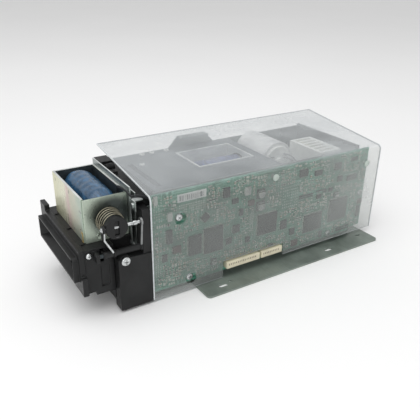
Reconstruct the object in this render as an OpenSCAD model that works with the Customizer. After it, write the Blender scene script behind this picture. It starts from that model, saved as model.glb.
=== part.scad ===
// Motorised card reader: a card goes in at the front mouth (-Y), a sprung solenoid opens the
// shutter, and three belt-driven roller pairs carry the card along the passage to the rear (+Y).
// Origin: centre of the four mounting slots, on the underside of the base plate. +Z is up.

/* [Base plate] */
// Sheet thickness of the base plate
plate_t = 1.5; // [1.2:0.1:1.8]
// Width over the two mounting flanges
plate_w = 115.4; // [114:0.2:118]
// Front edge of the flanges
flange_front = -65.6; // [-70:0.2:-62]
// Rear edge of the flanges
flange_rear = 95.9; // [92:0.1:98]
// Distance between slot centres across the plate
slot_pitch_x = 100; // [98:0.5:102]
// Distance between slot centres along the plate
slot_pitch_y = 98; // [94:0.5:102]
// Slot length, end to end
slot_len = 7.5; // [6:0.1:9]
// Slot width
slot_w = 3.6; // [3.2:0.1:4]

/* [Chassis] */
// Front ends of the side plates
chassis_front = -98.5; // [-99:0.1:-98]
// Rear ends of the side plates
chassis_rear = 86.5; // [86:0.1:87]
// Top edge of the side plates
side_top = 74; // [73.8:0.1:74.2]
// Outer face of the near side plate
near_x = 34; // [33.9:0.1:34.1]
// Outer face of the far side plate
far_x = -38; // [-38.1:0.1:-37.9]
// Thickness of the side plates
side_t = 1.2; // [1.1:0.1:1.3]

/* [Card passage] */
// Height of the middle of the card
card_z = 35.3; // [35.2:0.1:35.4]
// Width of the card passage
passage_w = 54.8; // [54.4:0.1:55]
// Height of the card passage
passage_h = 1.8; // [1.6:0.1:2]
// Distance between the roller pairs
roller_pitch = 70; // [69:0.5:71]
// Radius of the driven rollers
drive_r = 7; // [6.9:0.05:7]
// Radius of the pinch rollers
pinch_r = 5; // [4.9:0.05:5]

/* [Mouth] */
// Front plane of the mouth
mouth_front = -147.2; // [-148:0.1:-146]
// Width of the mouth, outside
mouth_w = 71; // [70:0.1:72]
// Height of the mouth, outside
mouth_h = 16.2; // [15.8:0.1:17]
// Wall thickness of the mouth at its lip
mouth_wall = 1.5; // [1.2:0.1:1.8]

/* [Shutter drive] */
// Travel of the solenoid plunger
plunger_travel = 5; // [4.8:0.1:5]
// Height of the plunger axis
plunger_z = 61; // [60.8:0.1:61.2]
// Place of the plunger axis along the reader
plunger_y = -120.7; // [-120.8:0.1:-120.6]
// Radius of the plunger cap
cap_r = 7; // [6.8:0.1:7.1]
// Height of the lever pivot
pivot_z = 43; // [42.9:0.1:43.1]
// Place of the lever pivot across the reader
pivot_x = 39.4; // [39.3:0.1:39.5]

/* [Clear cover] */
// Outer face of the cover's side panel
cover_x = 42.4; // [42.3:0.1:42.6]
// Front edge of the cover
cover_front = -98.5; // [-98.5:0.1:-98]
// Length of the cover
cover_len = 200.5; // [198:0.5:202]
// Sheet thickness of the cover
cover_t = 0.8; // [0.7:0.1:0.8]
// Height of the top panel at the near side
cover_near_z = 75.8; // [75.6:0.1:76.5]
// Height of the top panel at the far edge
cover_far_z = 85.5; // [84:0.5:87]

/* [Main board] */
// Outer face of the circuit board
board_x = 38.9; // [38.8:0.1:39]
// Thickness of the circuit board
board_t = 1.6; // [1.5:0.1:1.7]
// Front end of the circuit board
board_front = -96.5; // [-97:0.1:-96]
// Length of the circuit board
board_len = 188.5; // [187:0.5:189]
// Bottom edge of the circuit board
board_low = 5.5; // [5.2:0.1:6]
// Top edge of the circuit board
board_high = 74.5; // [74:0.1:74.5]

/* [Hidden] */
$fn = 48;
tiny = 0.01;
through = 400;
// passage
floor_z = card_z - passage_h / 2;
ceiling_z = card_z + passage_h / 2;
passage_half = passage_w / 2;
guide_half = 29;
guide_front = -96;
guide_rear = 82;
floor_t = 3.2;
ceiling_t = 3;
// rollers
roller_ys = [-8 - roller_pitch, -8, -8 + roller_pitch];
drive_z = card_z - 0.3 - drive_r;
pinch_z = card_z + 0.05 + pinch_r;
shaft_r = 2;
roller_x = 18;
roller_w = 9;
pinch_shaft_r = 1.5;
bush_r = 4;
run_gap = 0.05;
// card sensors along the passage
sensor_ys = [-92, -58, 18, 34, 78];
sensor_hole_r = 1;
// belt drive, on the far side
belt_mid_x = -41.6;
belt_w = 3.4;
belt_t = 1.2;
pulley_r = 7.6;
motor_pulley_r = 5;
belt_gap = 0.2;
motor_y = 32.5;
motor_z = 62;
motor_r = 15;
// front housing
housing_front = -140;
block_front = -121.1;
block_top = 38.5;
housing_low = 14.7;
housing_top = 47.5;
housing_half = 36;
blade_y = -132.9;
blade_t = 1;
crank_y = -129.4;
crank_t = 1.2;
pivot_pin_r = 1.2;
pivot_bore_r = 1.25;
lever_bore_r = 1.26;
// front solenoid
sol_x0 = -27.6;
sol_x1 = 26.8;
sol_y0 = -136;
sol_y1 = -107;
sol_top = 76.5;
sol_wall = 1.6;
plunger_r = 5;
pin_x = 41.2;
pin_r = 1.1;
// contact unit solenoid
csol_x0 = -24.6;
csol_x1 = 10.4;
csol_y0 = -45;
csol_y1 = 2;
csol_z0 = 50;
csol_top = 74.6;
csol_mid = (csol_x0 + csol_x1) / 2;
csol_axis_z = 61.5;
crank_pivot_y = 7;
crank_pivot_z = 44.5;
contact_y0 = -36;
contact_y1 = -18;
// fasteners
screw_r = 1.4;
screw_hole_r = 1.45;
head_r = 2.6;
small_head_r = 1.9;
head_h = 1.8;
// board screws: [along, height]
board_screws = [[-77.5, 56], [-70, 9.5], [56.9, 9], [87.7, 37.5]];
rivet_spots = [[-2.6, 69.2], [87.9, 63]];
top_screws = [[-33, -68], [-33, -60], [-33, -48], [-13.6, -77]];
steel = [0.66, 0.68, 0.68];
zinc = [0.78, 0.80, 0.70];
black = [0.12, 0.13, 0.13];
green = [0.16, 0.42, 0.30];
cream = [0.86, 0.82, 0.66];
brass = [0.80, 0.65, 0.30];

// A box given by its low and high corners
module slab(x0, y0, z0, x1, y1, z1) {
  translate([x0, y0, z0]) cube([x1 - x0, y1 - y0, z1 - z0]);
}

// A round bar along X from x0 to x1, centred on y, z
module bar_x(x0, x1, y, z, r) {
  translate([x0, y, z]) rotate([0, 90, 0]) cylinder(r = r, h = x1 - x0);
}

// A round bar along Y from y0 to y1, centred on x, z
module bar_y(y0, y1, x, z, r) {
  translate([x, y0, z]) rotate([-90, 0, 0]) cylinder(r = r, h = y1 - y0);
}

// A round bar along Z from z0 to z1
module bar_z(z0, z1, x, y, r) {
  translate([x, y, z0]) cylinder(r = r, h = z1 - z0);
}

// A slot through a flat plate, running along Y
module slot_y(x, y, len, w) {
  straight = len - w;
  slab(x - w / 2, y - straight / 2, -1, x + w / 2, y + straight / 2, plate_t + 1);
  for (end = [-1, 1]) bar_z(-1, plate_t + 1, x, y + end * straight / 2, w / 2);
}

// A flat rectangle with rounded corners, lying in XY
module rounded_plate(x0, y0, x1, y1, z0, z1, r) {
  slab(x0 + r, y0, z0, x1 - r, y1, z1);
  slab(x0, y0 + r, z0, x1, y1 - r, z1);
  for (x = [x0 + r, x1 - r]) for (y = [y0 + r, y1 - r]) bar_z(z0, z1, x, y, r);
}

// The space that the card enters: a funnel that narrows to the passage, then runs on
module card_funnel() {
  mouth_depth = 10.2;
  lip_half_w = mouth_w / 2 - mouth_wall;
  lip_half_h = mouth_h / 2 - mouth_wall;
  half_h = passage_h / 2;
  y0 = mouth_front - tiny;
  y1 = mouth_front + mouth_depth;
  intersection() {
    translate([0, 0, 0]) linear_extrude(height = 80)
      polygon([[-lip_half_w, y0], [lip_half_w, y0], [passage_half, y1], [-passage_half, y1]]);
    translate([-50, 0, card_z]) rotate([90, 0, 90]) linear_extrude(height = 100)
      polygon([[y0, -lip_half_h], [y1, -half_h], [y1, half_h], [y0, lip_half_h]]);
  }
  slab(-passage_half, y1 - tiny, floor_z, passage_half, chassis_front + 1, ceiling_z);
}

module base_plate() color(steel) difference() {
  union() {
    rounded_plate(-plate_w / 2, flange_front, plate_w / 2, flange_rear, 0, plate_t, 3);
    slab(far_x, chassis_front, 0, near_x, flange_front + 5, plate_t);
  }
  for (x = [-1, 1]) for (y = [-1, 1])
    slot_y(x * slot_pitch_x / 2, y * slot_pitch_y / 2, slot_len, slot_w);
  for (x = [-1, 1]) {
    bar_z(-1, plate_t + 1, x * 47.8, -42.2, 1.3);
    slot_y(x * 45.2, 86.1, 5, 2);
  }
  for (y = [-70, -20, 30, 72]) bar_z(-1, plate_t + 1, 0, y, 6);
}

// A side plate with its foot folded inwards; side is 1 for the near one and -1 for the far one
module side_plate(outer, side) {
  inner = outer - side * side_t;
  difference() {
    union() {
      slab(min(inner, outer), chassis_front, plate_t, max(inner, outer), chassis_rear - 2, side_top);
      slab(min(inner - side * 10, inner), chassis_front + 3, plate_t,
        max(inner - side * 10, inner), chassis_rear - 6, plate_t + side_t);
    }
    for (y = roller_ys) bar_x(outer - 5, outer + 5, y, drive_z, bush_r);
    for (y = [-43, 27]) slab(outer - 5, y - 12, 8, outer + 5, y + 12, 22);
    slab(outer - 5, chassis_front - 1, side_top - 8, outer + 5, chassis_front + 6, side_top + 1);
  }
}

module near_side_plate() color(steel) difference() {
  side_plate(near_x, 1);
  bar_x(near_x - 5, near_x + 5, motor_y, 66, 4);
  for (s = board_screws) if (s[0] < chassis_rear - 4) bar_x(near_x - 5, near_x + 5, s[0], s[1], screw_hole_r);
}

module far_side_plate() color(steel) {
  difference() {
    side_plate(far_x, -1);
    bar_x(far_x - 5, far_x + 5, motor_y, motor_z, 3);
    for (a = [45:90:315])
      bar_x(far_x - 5, far_x + 5, motor_y + 9 * cos(a), motor_z + 9 * sin(a), screw_hole_r);
  }
  // upstand that carries the far edge of the clear cover
  translate([far_x, 0, 0]) rotate([90, 0, 90]) linear_extrude(height = side_t)
    polygon([[-44, side_top], [-36, 82.5], [-12, 82.5], [-4, side_top]]);
  slab(far_x + side_t, -36, 82.5 - side_t, far_x + side_t + 6, -12, 82.5);
}

module rear_wall() color(black) difference() {
  union() {
    slab(far_x, chassis_rear - 2, plate_t, near_x, chassis_rear, side_top + 1.6);
    slab(far_x + side_t, 46, 58.5, near_x - side_t, chassis_rear - 1, 60);
  }
  slab(-guide_half, chassis_rear - 4, 33, guide_half, chassis_rear + 2, 38.6);
  slab(far_x, 45, 57, 1, chassis_rear - 14, 61);
}

module front_cross_member() color(black) {
  slab(far_x + side_t, chassis_front, 60, near_x - side_t, -90.2, 73);
  slab(-40, -102.6, 60, 31.4, chassis_front, 73);
  slab(-40, -102.6, 73, -27, -93, 76.5);
  slab(-23, -101.6, 73, -17.5, -95.5, 74.4);
  bar_y(-101.6, -95.5, -20.2, 74.4, 2.7);
  slab(-15, -101, 73, -9, -97, 75);
}

module top_plate() color(steel) difference() {
  union() {
    slab(far_x + side_t, -90, 72.8, near_x - side_t, 10, 74);
    for (x = [far_x + side_t, near_x - side_t - 1.2]) slab(x, -89, 66, x + 1.2, 9, 73);
  }
  slab(csol_x0 - 0.4, csol_y0 - 0.4, 60, csol_x1 + 0.4, csol_y1 + 0.4, 80);
  for (s = top_screws) bar_z(60, 80, s[0], s[1], screw_hole_r);
  slab(-20, -86, 60, 26, -82, 80);
}

// Windows that a roller pair needs in a guide plate
module roller_windows(y, half_x, half_y, z0, z1) {
  for (x = [-roller_x, roller_x]) slab(x - half_x, y - half_y, z0, x + half_x, y + half_y, z1);
}

// Ears that join a card guide to both side plates
module guide_ears(z0, z1) {
  for (y = [-94, 74]) {
    slab(far_x + side_t, y, z0, -guide_half, y + 8, z1);
    slab(guide_half, y, z0, near_x - side_t, y + 8, z1);
  }
}

module lower_guide() color(black) difference() {
  union() {
    slab(-guide_half, guide_front, floor_z - floor_t, guide_half, guide_rear, floor_z);
    for (x = [-guide_half, passage_half]) {
      slab(x, guide_front, floor_z, x + guide_half - passage_half, guide_rear, ceiling_z);
      slab(x, guide_front, 24, x + guide_half - passage_half, guide_rear, floor_z);
    }
    guide_ears(26, floor_z);
  }
  for (y = roller_ys) {
    roller_windows(y, 5.5, 7.6, 20, 40);
    bar_x(-40, 40, y, drive_z, shaft_r + 0.6);
  }
  slab(8.6, -49.4, 20, 24.6, -36.6, 40);
  for (y = sensor_ys) bar_z(20, 40, 0, y, sensor_hole_r);
}

module upper_guide() color(black) difference() {
  union() {
    slab(-guide_half, guide_front, ceiling_z, guide_half, guide_rear, ceiling_z + ceiling_t);
    guide_ears(ceiling_z, ceiling_z + ceiling_t);
    for (y = roller_ys) for (x = [-26.5, 24.5])
      slab(x, y - 3, ceiling_z + ceiling_t - tiny, x + 2, y + 3, pinch_z + 3);
  }
  for (y = roller_ys) {
    roller_windows(y, 5.3, 6, 30, 60);
    bar_x(-30, 30, y, pinch_z, pinch_shaft_r + run_gap);
  }
  slab(csol_mid - 11.4, contact_y0 - 1, 30, csol_mid + 11.4, contact_y1 + 1, 60);
  for (y = sensor_ys) bar_z(30, 60, 0, y, sensor_hole_r);
}

module front_block() color(black) difference() {
  union() {
    slab(-40, block_front, 5.5, 33.4, chassis_front, block_top);
    slab(33.4, block_front, 1.6, cover_x, chassis_front, block_top);
    slab(-30, block_front, block_top, 30, sol_y1, housing_top);
    slab(32, -103.9, block_top, 41.4, chassis_front, 68);
    bar_x(35, cover_x, -116.6, 37.4, 3.6);
  }
  slab(-passage_half, block_front - 1, floor_z, passage_half, chassis_front + 1, ceiling_z);
  bar_y(-105, -100, pivot_x, pivot_z, pivot_bore_r);
  slab(-50, -104, block_top, -30, -98, 60);
  slab(34, block_front - 1, 8, 35.2, block_front + 1.2, 33);
  bar_x(cover_x - 8, cover_x + 1, -116.6, 37.4, screw_hole_r);
}

module shutter_housing() color(black) difference() {
  union() {
    slab(-housing_half, housing_front, housing_low, housing_half, block_front, housing_top);
    slab(housing_half, -134.4, 40, pivot_x + 2.6, -132, 46);
  }
  card_funnel();
  // step under the front edge
  slab(-50, housing_front - 1, 0, 50, -134, 17.2);
  // cavity for the shutter blade
  slab(-31, blade_y - 0.5, 18.2, 34.5, crank_y + crank_t + 0.5, 46);
  // window for the crank arm
  slab(30, crank_y - 0.5, 37.5, housing_half + 1, crank_y + crank_t + 0.5, 46);
  // crank pin's seat
  bar_y(-134, -131, pivot_x, pivot_z, pivot_bore_r);
  // recesses in the side faces
  for (x = [-1, 1]) {
    slab(min(x * 35, x * 40), -130, 20, max(x * 35, x * 40), -124.5, 34);
    bar_x(x > 0 ? housing_half - 6 : -housing_half - 1, x > 0 ? housing_half + 1 : 6 - housing_half,
      -137.2, 43.7, screw_hole_r);
  }
  bar_z(10, 24, 32.5, -136.8, screw_hole_r);
}

module bezel() color(black) difference() {
  union() {
    slab(-mouth_w / 2, mouth_front, card_z - mouth_h / 2, mouth_w / 2, -142, card_z + mouth_h / 2);
    slab(-37.4, -143.5, 22, 37.4, housing_front, 48.5);
    slab(-40, -143.5, 40, -29, housing_front, 52.5);
    slab(30, -143.5, 18.4, 40.2, housing_front, 31);
    slab(-37.4, -143.5, 18.4, 31, housing_front, 23);
  }
  card_funnel();
  // bevelled near top corner of the mouth
  translate([mouth_w / 2, mouth_front - 1, card_z + mouth_h / 2]) rotate([0, 45, 0])
    translate([-1.4, 0, -1.4]) cube([2.8, 4.7, 2.8]);
}

module front_bulkhead() color(steel) difference() {
  slab(-29.6, sol_y1, block_top, 31.4, sol_y1 + 1, 80);
  slab(-30.1, sol_y1 - 1, 0, 30.1, sol_y1 + 2, housing_top - 4);
  for (x = [-22, 24]) bar_y(sol_y1 - 1, sol_y1 + 2, x, 70, 1.5);
}

module bulkhead_backplate() color(steel) {
  slab(-29.6, -103.6, block_top, 31.4, -102.8, 75.6);
  slab(-29.6, -105.9, block_top, 31.4, -103.6, block_top + 0.8);
}

module corner_bracket() color(steel) {
  slab(31.4, -106.4, 66, 38, -105.8, 72.4);
  slab(31.4, -105.8, 71.6, 35.4, -100, 72.4);
  bar_y(-107.6, -106.4, 34.8, 69, 1.9);
}

// Open-topped box of bent sheet, its walls sol_wall thick
module solenoid_frame() color(zinc) difference() {
  slab(sol_x0, sol_y0, housing_top, sol_x1, sol_y1, sol_top);
  slab(sol_x0 + sol_wall, sol_y0 + sol_wall, housing_top + sol_wall,
    sol_x1 + 1, sol_y1 - sol_wall, sol_top + 1);
}

module solenoid_end_plate() color(zinc) difference() {
  union() {
    slab(sol_x1, sol_y0 + 0.6, housing_top, sol_x1 + 1.6, sol_y1 - 0.4, sol_top - 0.6);
    slab(sol_x1 - 1.2, sol_y0 + sol_wall, sol_top - 5, sol_x1, sol_y1 - sol_wall, sol_top - 1.6);
  }
  bar_x(sol_x1 - 3, sol_x1 + 3, plunger_y, plunger_z, plunger_r + 0.3);
}

module solenoid_bobbin() color(black) difference() {
  union() {
    for (x = [sol_x0 + sol_wall, 23.9]) bar_x(x, x + 1.5, plunger_y, plunger_z, 11.8);
    bar_x(sol_x0 + sol_wall, 25.4, plunger_y, plunger_z, 6.4);
  }
  bar_x(-40, 40, plunger_y, plunger_z, plunger_r + 0.3);
}

module solenoid_coil() color([0.25, 0.45, 0.65]) difference() {
  union() {
    bar_x(sol_x0 + sol_wall + 1.5, 23.9, plunger_y, plunger_z, 11.4);
    // the outer turns stand higher at the open top
    bar_x(sol_x0 + sol_wall + 2, 23, plunger_y, plunger_z + 3.4, 10.4);
  }
  bar_x(-40, 40, plunger_y, plunger_z, 6.4);
}

module plunger() color(steel) difference() {
  bar_x(0, 42, plunger_y, plunger_z, plunger_r);
  bar_y(plunger_y - 10, plunger_y + 10, pin_x, plunger_z, pin_r);
}

module plunger_cap() color(black) difference() {
  union() {
    bar_x(39.2, 43.2, plunger_y, plunger_z, cap_r);
    bar_x(37.8, 39.2, plunger_y, plunger_z, cap_r - 1.2);
  }
  bar_x(37, 42, plunger_y, plunger_z, plunger_r);
  slab(41.9, plunger_y - 1.5, plunger_z - 4.6, 44, plunger_y + 1.5, plunger_z + 4.6);
  bar_y(plunger_y - 10, plunger_y + 10, pin_x, plunger_z, pin_r);
}

module cross_pin() color(steel) {
  bar_y(crank_y - 1.3, -104, pin_x, plunger_z, pin_r);
  bar_y(crank_y - 0.8, crank_y - 0.2, pin_x, plunger_z, 1.9);
  bar_y(-110, -107.6, pin_x, plunger_z, 1.5);
}

// Points of a circle across the wire, carried along the coil
spring_turns = 4.5;
spring_r = 7.9;
spring_end_r = 7.05;
spring_wire = 0.45;
spring_x0 = sol_x1 + 1.6 + spring_wire;
spring_x1 = 39.2 - spring_wire - 0.2;
spring_steps = 24;
wire_sides = 8;
function spring_ring(i) = let (
  turn = i / spring_steps,
  x = spring_x0 + (spring_x1 - spring_x0) * turn / spring_turns,
  a = 360 * turn,
  mean = spring_r + (spring_end_r - spring_r) * turn / spring_turns)
  [for (k = [0:wire_sides - 1]) let (
    b = 360 * k / wire_sides,
    r = mean + spring_wire * cos(b))
    [x + spring_wire * sin(b), plunger_y + r * cos(a), plunger_z + r * sin(a)]];
module plunger_spring() color(steel) {
  rings = spring_turns * spring_steps;
  points = [for (i = [0:rings]) each spring_ring(i)];
  sides = [for (i = [0:rings - 1]) for (k = [0:wire_sides - 1])
    let (a = i * wire_sides + k, b = i * wire_sides + (k + 1) % wire_sides)
    [a, b, b + wire_sides, a + wire_sides]];
  first = [for (k = [wire_sides - 1:-1:0]) k];
  last = [for (k = [0:wire_sides - 1]) rings * wire_sides + k];
  polyhedron(points = points, faces = concat([first], sides, [last]), convexity = 8);
}

// One lever arm standing up from the pivot to the cross pin; y0 is its front face
module lever_arm(y0) {
  difference() {
    union() {
      translate([0, y0 + crank_t, 0]) rotate([90, 0, 0]) linear_extrude(height = crank_t)
        polygon([[pivot_x - 1.6, pivot_z], [pivot_x + 1.6, pivot_z],
          [pin_x + 2.2, plunger_z], [pin_x - 2.2, plunger_z]]);
      bar_y(y0, y0 + crank_t, pin_x, plunger_z, 2.6);
      bar_y(y0, y0 + crank_t, pivot_x, pivot_z, 2.6);
    }
    slab(pin_x - pin_r - 0.3, y0 - 1, plunger_z - 1.9, pin_x + pin_r + 0.3, y0 + 3, plunger_z + 1.5);
    bar_y(y0 - 1, y0 + 3, pivot_x, pivot_z, lever_bore_r);
  }
}

// The front arm: upright behind the pin, then leaning back to its foot on the tube
knee_z = 54.5;
foot_y = -123;
module front_arm() {
  levels = [[pivot_z, pivot_x, 1.6, foot_y], [knee_z, 40.5, 2, crank_y],
    [plunger_z, pin_x, 2.2, crank_y]];
  points = [for (l = levels) each [[l[1] - l[2], l[3], l[0]], [l[1] + l[2], l[3], l[0]],
    [l[1] + l[2], l[3] + crank_t, l[0]], [l[1] - l[2], l[3] + crank_t, l[0]]]];
  sides = [for (i = [0:1], k = [0:3])
    [4 * i + k, 4 * i + 4 + k, 4 * i + 4 + (k + 1) % 4, 4 * i + (k + 1) % 4]];
  difference() {
    union() {
      polyhedron(points = points, faces = concat([[0, 1, 2, 3]], sides, [[11, 10, 9, 8]]));
      bar_y(crank_y, crank_y + crank_t, pin_x, plunger_z, 2.6);
      bar_y(foot_y, foot_y + crank_t, pivot_x, pivot_z, 2.6);
    }
    slab(pin_x - pin_r - 0.3, crank_y - 1, plunger_z - 1.9, pin_x + pin_r + 0.3, crank_y + 3,
      plunger_z + 1.5);
    bar_y(foot_y - 1, foot_y + 3, pivot_x, pivot_z, lever_bore_r);
  }
}

module shutter_lever() color(steel) {
  front_arm();
  lever_arm(-105.4);
  difference() {
    bar_y(crank_y, -104.2, pivot_x, pivot_z, 2);
    bar_y(crank_y - 1, -104, pivot_x, pivot_z, lever_bore_r);
  }
  // inward arm and its pin, which lower the shutter blade
  difference() {
    slab(29.2, crank_y, pivot_z - 1.5, pivot_x, crank_y + crank_t, pivot_z + 1.5);
    bar_y(crank_y - 1, -104, pivot_x, pivot_z, 1.5);
  }
  bar_y(blade_y - 0.2, crank_y, 30.4, pivot_z, pin_r);
}

module lever_pivot_pin() color(steel) {
  bar_y(-134, -100.4, pivot_x, pivot_z, pivot_pin_r);
}

module shutter_blade() color(steel) difference() {
  union() {
    slab(-28, blade_y, 24, 28, blade_y + blade_t, 36.6);
    slab(27.8, blade_y, 24, 33.6, blade_y + blade_t, 45.3);
  }
  slab(28.9, blade_y - 1, pivot_z - 1.4, 32.4, blade_y + 2, pivot_z + 1.4);
}

module drive_motor() color([0.86, 0.87, 0.87]) {
  bar_x(far_x + side_t, 0, motor_y, motor_z, motor_r);
  bar_x(0, 2, motor_y, motor_z, 12);
  bar_x(2, 4, motor_y, motor_z, 3);
  for (a = [45:90:315]) bar_x(far_x - 0.8, far_x + side_t, motor_y + 9 * cos(a), motor_z + 9 * sin(a), screw_r);
}

// Outline of the belt loop round the pulleys, grown by extra
module belt_outline(extra) hull() {
  for (y = [roller_ys[0], roller_ys[2]]) translate([y, drive_z]) circle(r = pulley_r + belt_gap + extra);
  translate([motor_y, motor_z]) circle(r = motor_pulley_r + belt_gap + extra);
}

module timing_belt() color([0.1, 0.1, 0.1])
  translate([belt_mid_x - belt_w / 2, 0, 0]) rotate([90, 0, 90]) linear_extrude(height = belt_w)
    difference() {
      belt_outline(belt_t);
      belt_outline(0);
    }

// A flanged belt pulley bored for its shaft
module belt_pulley(y, z, r, bore) difference() {
  union() {
    bar_x(belt_mid_x - belt_w / 2 - 0.3, belt_mid_x + belt_w / 2 + 0.3, y, z, r);
    for (x = [belt_mid_x - belt_w / 2 - 0.9, belt_mid_x + belt_w / 2 + 0.3])
      bar_x(x, x + 0.6, y, z, r + 1.8);
  }
  bar_x(-60, 0, y, z, bore);
}

module feed_shaft(y) color(steel) bar_x(belt_mid_x - 3, near_x + 0.3, y, drive_z, shaft_r);

module feed_rollers(y) color([0.15, 0.15, 0.16]) for (x = [-roller_x, roller_x]) difference() {
  bar_x(x - roller_w / 2, x + roller_w / 2, y, drive_z, drive_r);
  bar_x(x - roller_w, x + roller_w, y, drive_z, shaft_r);
}

module feed_pulley(y) color([0.9, 0.9, 0.86]) belt_pulley(y, drive_z, pulley_r, shaft_r);

module pinch_roller(y) color([0.85, 0.85, 0.82]) {
  for (x = [-roller_x, roller_x]) bar_x(x - 4, x + 4, y, pinch_z, pinch_r);
  bar_x(-26.5, 26.5, y, pinch_z, pinch_shaft_r);
}

module motor_pulley() color(brass) {
  belt_pulley(motor_y, motor_z, motor_pulley_r, 1.5);
  bar_x(belt_mid_x - 3, far_x - 0.1, motor_y, motor_z, 1.5);
}

module shaft_bushes() color(brass) for (y = roller_ys) {
  difference() {
    union() {
      bar_x(near_x - side_t, near_x, y, drive_z, bush_r);
      bar_x(near_x - side_t - 0.8, near_x - side_t, y, drive_z, bush_r + 1);
    }
    bar_x(-60, 60, y, drive_z, shaft_r + run_gap);
  }
  difference() {
    union() {
      bar_x(far_x, far_x + side_t, y, drive_z, bush_r);
      bar_x(far_x + side_t, far_x + side_t + 0.8, y, drive_z, bush_r + 1);
    }
    bar_x(-60, 60, y, drive_z, shaft_r + run_gap);
  }
}

module encoder_disc() color([0.2, 0.2, 0.2]) difference() {
  union() {
    bar_x(30.2, 31, roller_ys[2], drive_z, 9);
    bar_x(29.4, 30.2, roller_ys[2], drive_z, 3.4);
  }
  bar_x(0, 60, roller_ys[2], drive_z, shaft_r);
  for (a = [0:30:330]) bar_x(29, 32, roller_ys[2] + 7 * cos(a), drive_z + 7 * sin(a), 0.9);
}

module optical_sensors() color([0.08, 0.08, 0.09]) {
  // fork that straddles the encoder disc
  slab(28.4, roller_ys[2] - 5, plate_t + side_t, 32.6, roller_ys[2] + 5, 16);
  slab(28.4, roller_ys[2] - 5, 16, 29.6, roller_ys[2] + 5, 23);
  slab(31.6, roller_ys[2] - 5, 16, 32.6, roller_ys[2] + 5, 23);
  // card sensors, an emitter above the passage and a receiver below it
  for (y = sensor_ys) {
    slab(-3, y - 2.2, ceiling_z + ceiling_t, 3, y + 2.2, ceiling_z + ceiling_t + 3.4);
    slab(-3, y - 2.2, floor_z - floor_t - 3.4, 3, y + 2.2, floor_z - floor_t);
  }
}

module contact_solenoid_frame() color(zinc) difference() {
  slab(csol_x0, csol_y0, csol_z0, csol_x1, csol_y1, csol_top);
  slab(csol_x0 + 1.5, csol_y0 + 1.5, csol_z0 + 1.5, csol_x1 - 1.5, csol_y1 - 1.5, csol_top + 1);
  bar_y(csol_y1 - 3, csol_y1 + 3, csol_mid, csol_axis_z, 4.3);
}

module contact_coil() color([0.25, 0.45, 0.65]) difference() {
  union() {
    bar_y(csol_y0 + 3, csol_y1 - 3, csol_mid, csol_axis_z, 9.6);
    for (y = [csol_y0 + 1.5, csol_y1 - 3]) bar_y(y, y + 1.5, csol_mid, csol_axis_z, 9.9);
  }
  bar_y(csol_y0 - 1, csol_y1 + 1, csol_mid, csol_axis_z, 4.3);
}

module contact_plunger() color(steel) {
  bar_y(-24, csol_y1 + 2.4, csol_mid, csol_axis_z, 4);
  bar_y(csol_y1 + 2.4, 8.6, csol_mid, csol_axis_z, 2.4);
  bar_y(8.6, 10.6, csol_mid, csol_axis_z, 4);
}

module contact_lever() color(steel) difference() {
  union() {
    slab(csol_mid - 5, 6.2, crank_pivot_z, csol_mid + 5, 7.8, csol_axis_z + 3);
    bar_x(csol_mid - 5, csol_mid + 5, crank_pivot_y, crank_pivot_z, 2.4);
    slab(csol_mid - 5, -17, crank_pivot_z, csol_mid + 5, crank_pivot_y, crank_pivot_z + 1.4);
  }
  slab(csol_mid - 3, 0, csol_axis_z - 3.2, csol_mid + 3, 12, csol_axis_z + 5);
  bar_x(csol_mid - 10, csol_mid + 10, crank_pivot_y, crank_pivot_z, lever_bore_r);
}

module contact_lever_pin() color(steel) {
  bar_x(csol_mid - 9, csol_mid + 9, crank_pivot_y, crank_pivot_z, 1.2);
  for (x = [csol_mid - 9, csol_mid + 7]) difference() {
    slab(x, crank_pivot_y - 2.4, ceiling_z + ceiling_t, x + 2, crank_pivot_y + 2.4, crank_pivot_z + 2.6);
    bar_x(x - 1, x + 3, crank_pivot_y, crank_pivot_z, 1.2);
  }
}

module contact_block() color(black) difference() {
  union() {
    slab(csol_mid - 10.8, contact_y0, 39, csol_mid + 10.8, contact_y1, 46.5);
    slab(csol_mid - 6, contact_y1, 42, csol_mid + 6, -12.4, 43.9);
  }
  slab(csol_mid - 7, contact_y0 + 3, 43, csol_mid + 7, contact_y1 - 3, 48);
}

module contact_springs() color(brass)
  for (side = [-1, 1]) for (i = [-1.5:1:1.5]) {
    x = csol_mid + i * 3;
    y = (contact_y0 + contact_y1) / 2 + side * 3.8;
    slab(x - 0.5, y - 1.6, 38.4, x + 0.5, y + 1.6, 39);
    bar_x(x - 0.5, x + 0.5, y, 38.5, 0.4);
  }

module magnetic_head() color([0.72, 0.72, 0.7]) {
  slab(9.6, -48, 24.5, 23.6, -38, 32.4);
  intersection() {
    bar_x(9.6, 23.6, -43, 27.4, 7.4);
    slab(9.6, -48, 32.4, 23.6, -38, 40);
  }
}

module main_board() color(green) difference() {
  slab(board_x - board_t, board_front, board_low, board_x, board_front + board_len, board_high);
  for (s = board_screws) bar_x(30, 50, s[0], s[1], 1.6);
  for (s = rivet_spots) bar_x(30, 50, s[0], s[1], 1.6);
  // relief at the lower rear corner
  slab(30, 80, 0, 50, 100, 8);
}

// One chip on the board face: [front, low, length, height]
chips = [[-58.6, 23.5, 15, 19], [-70.7, 25.5, 9.9, 14.5], [-14, 25.5, 17, 16],
  [30, 16, 18, 14.5], [55.5, 19, 18.5, 18.5]];
chip_h = 1.4;
module large_chips() color([0.2, 0.2, 0.2]) for (c = chips)
  slab(board_x, c[0], c[1], board_x + chip_h, c[0] + c[2], c[1] + c[3]);

module edge_connectors() color(cream) for (c = [[-42, -13.6], [-12, 7]]) difference() {
  slab(board_x, c[0], 8.6, board_x + 4.8, c[1], 13.6);
  slab(board_x + 1.6, c[0] + 1.2, 7, board_x + 3.8, c[1] - 1.2, 12);
}

module board_standoffs() color(brass) for (s = board_screws) difference() {
  bar_x(near_x, board_x - board_t, s[0], s[1], 2.8);
  bar_x(near_x - 1, board_x, s[0], s[1], screw_hole_r);
}

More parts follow.
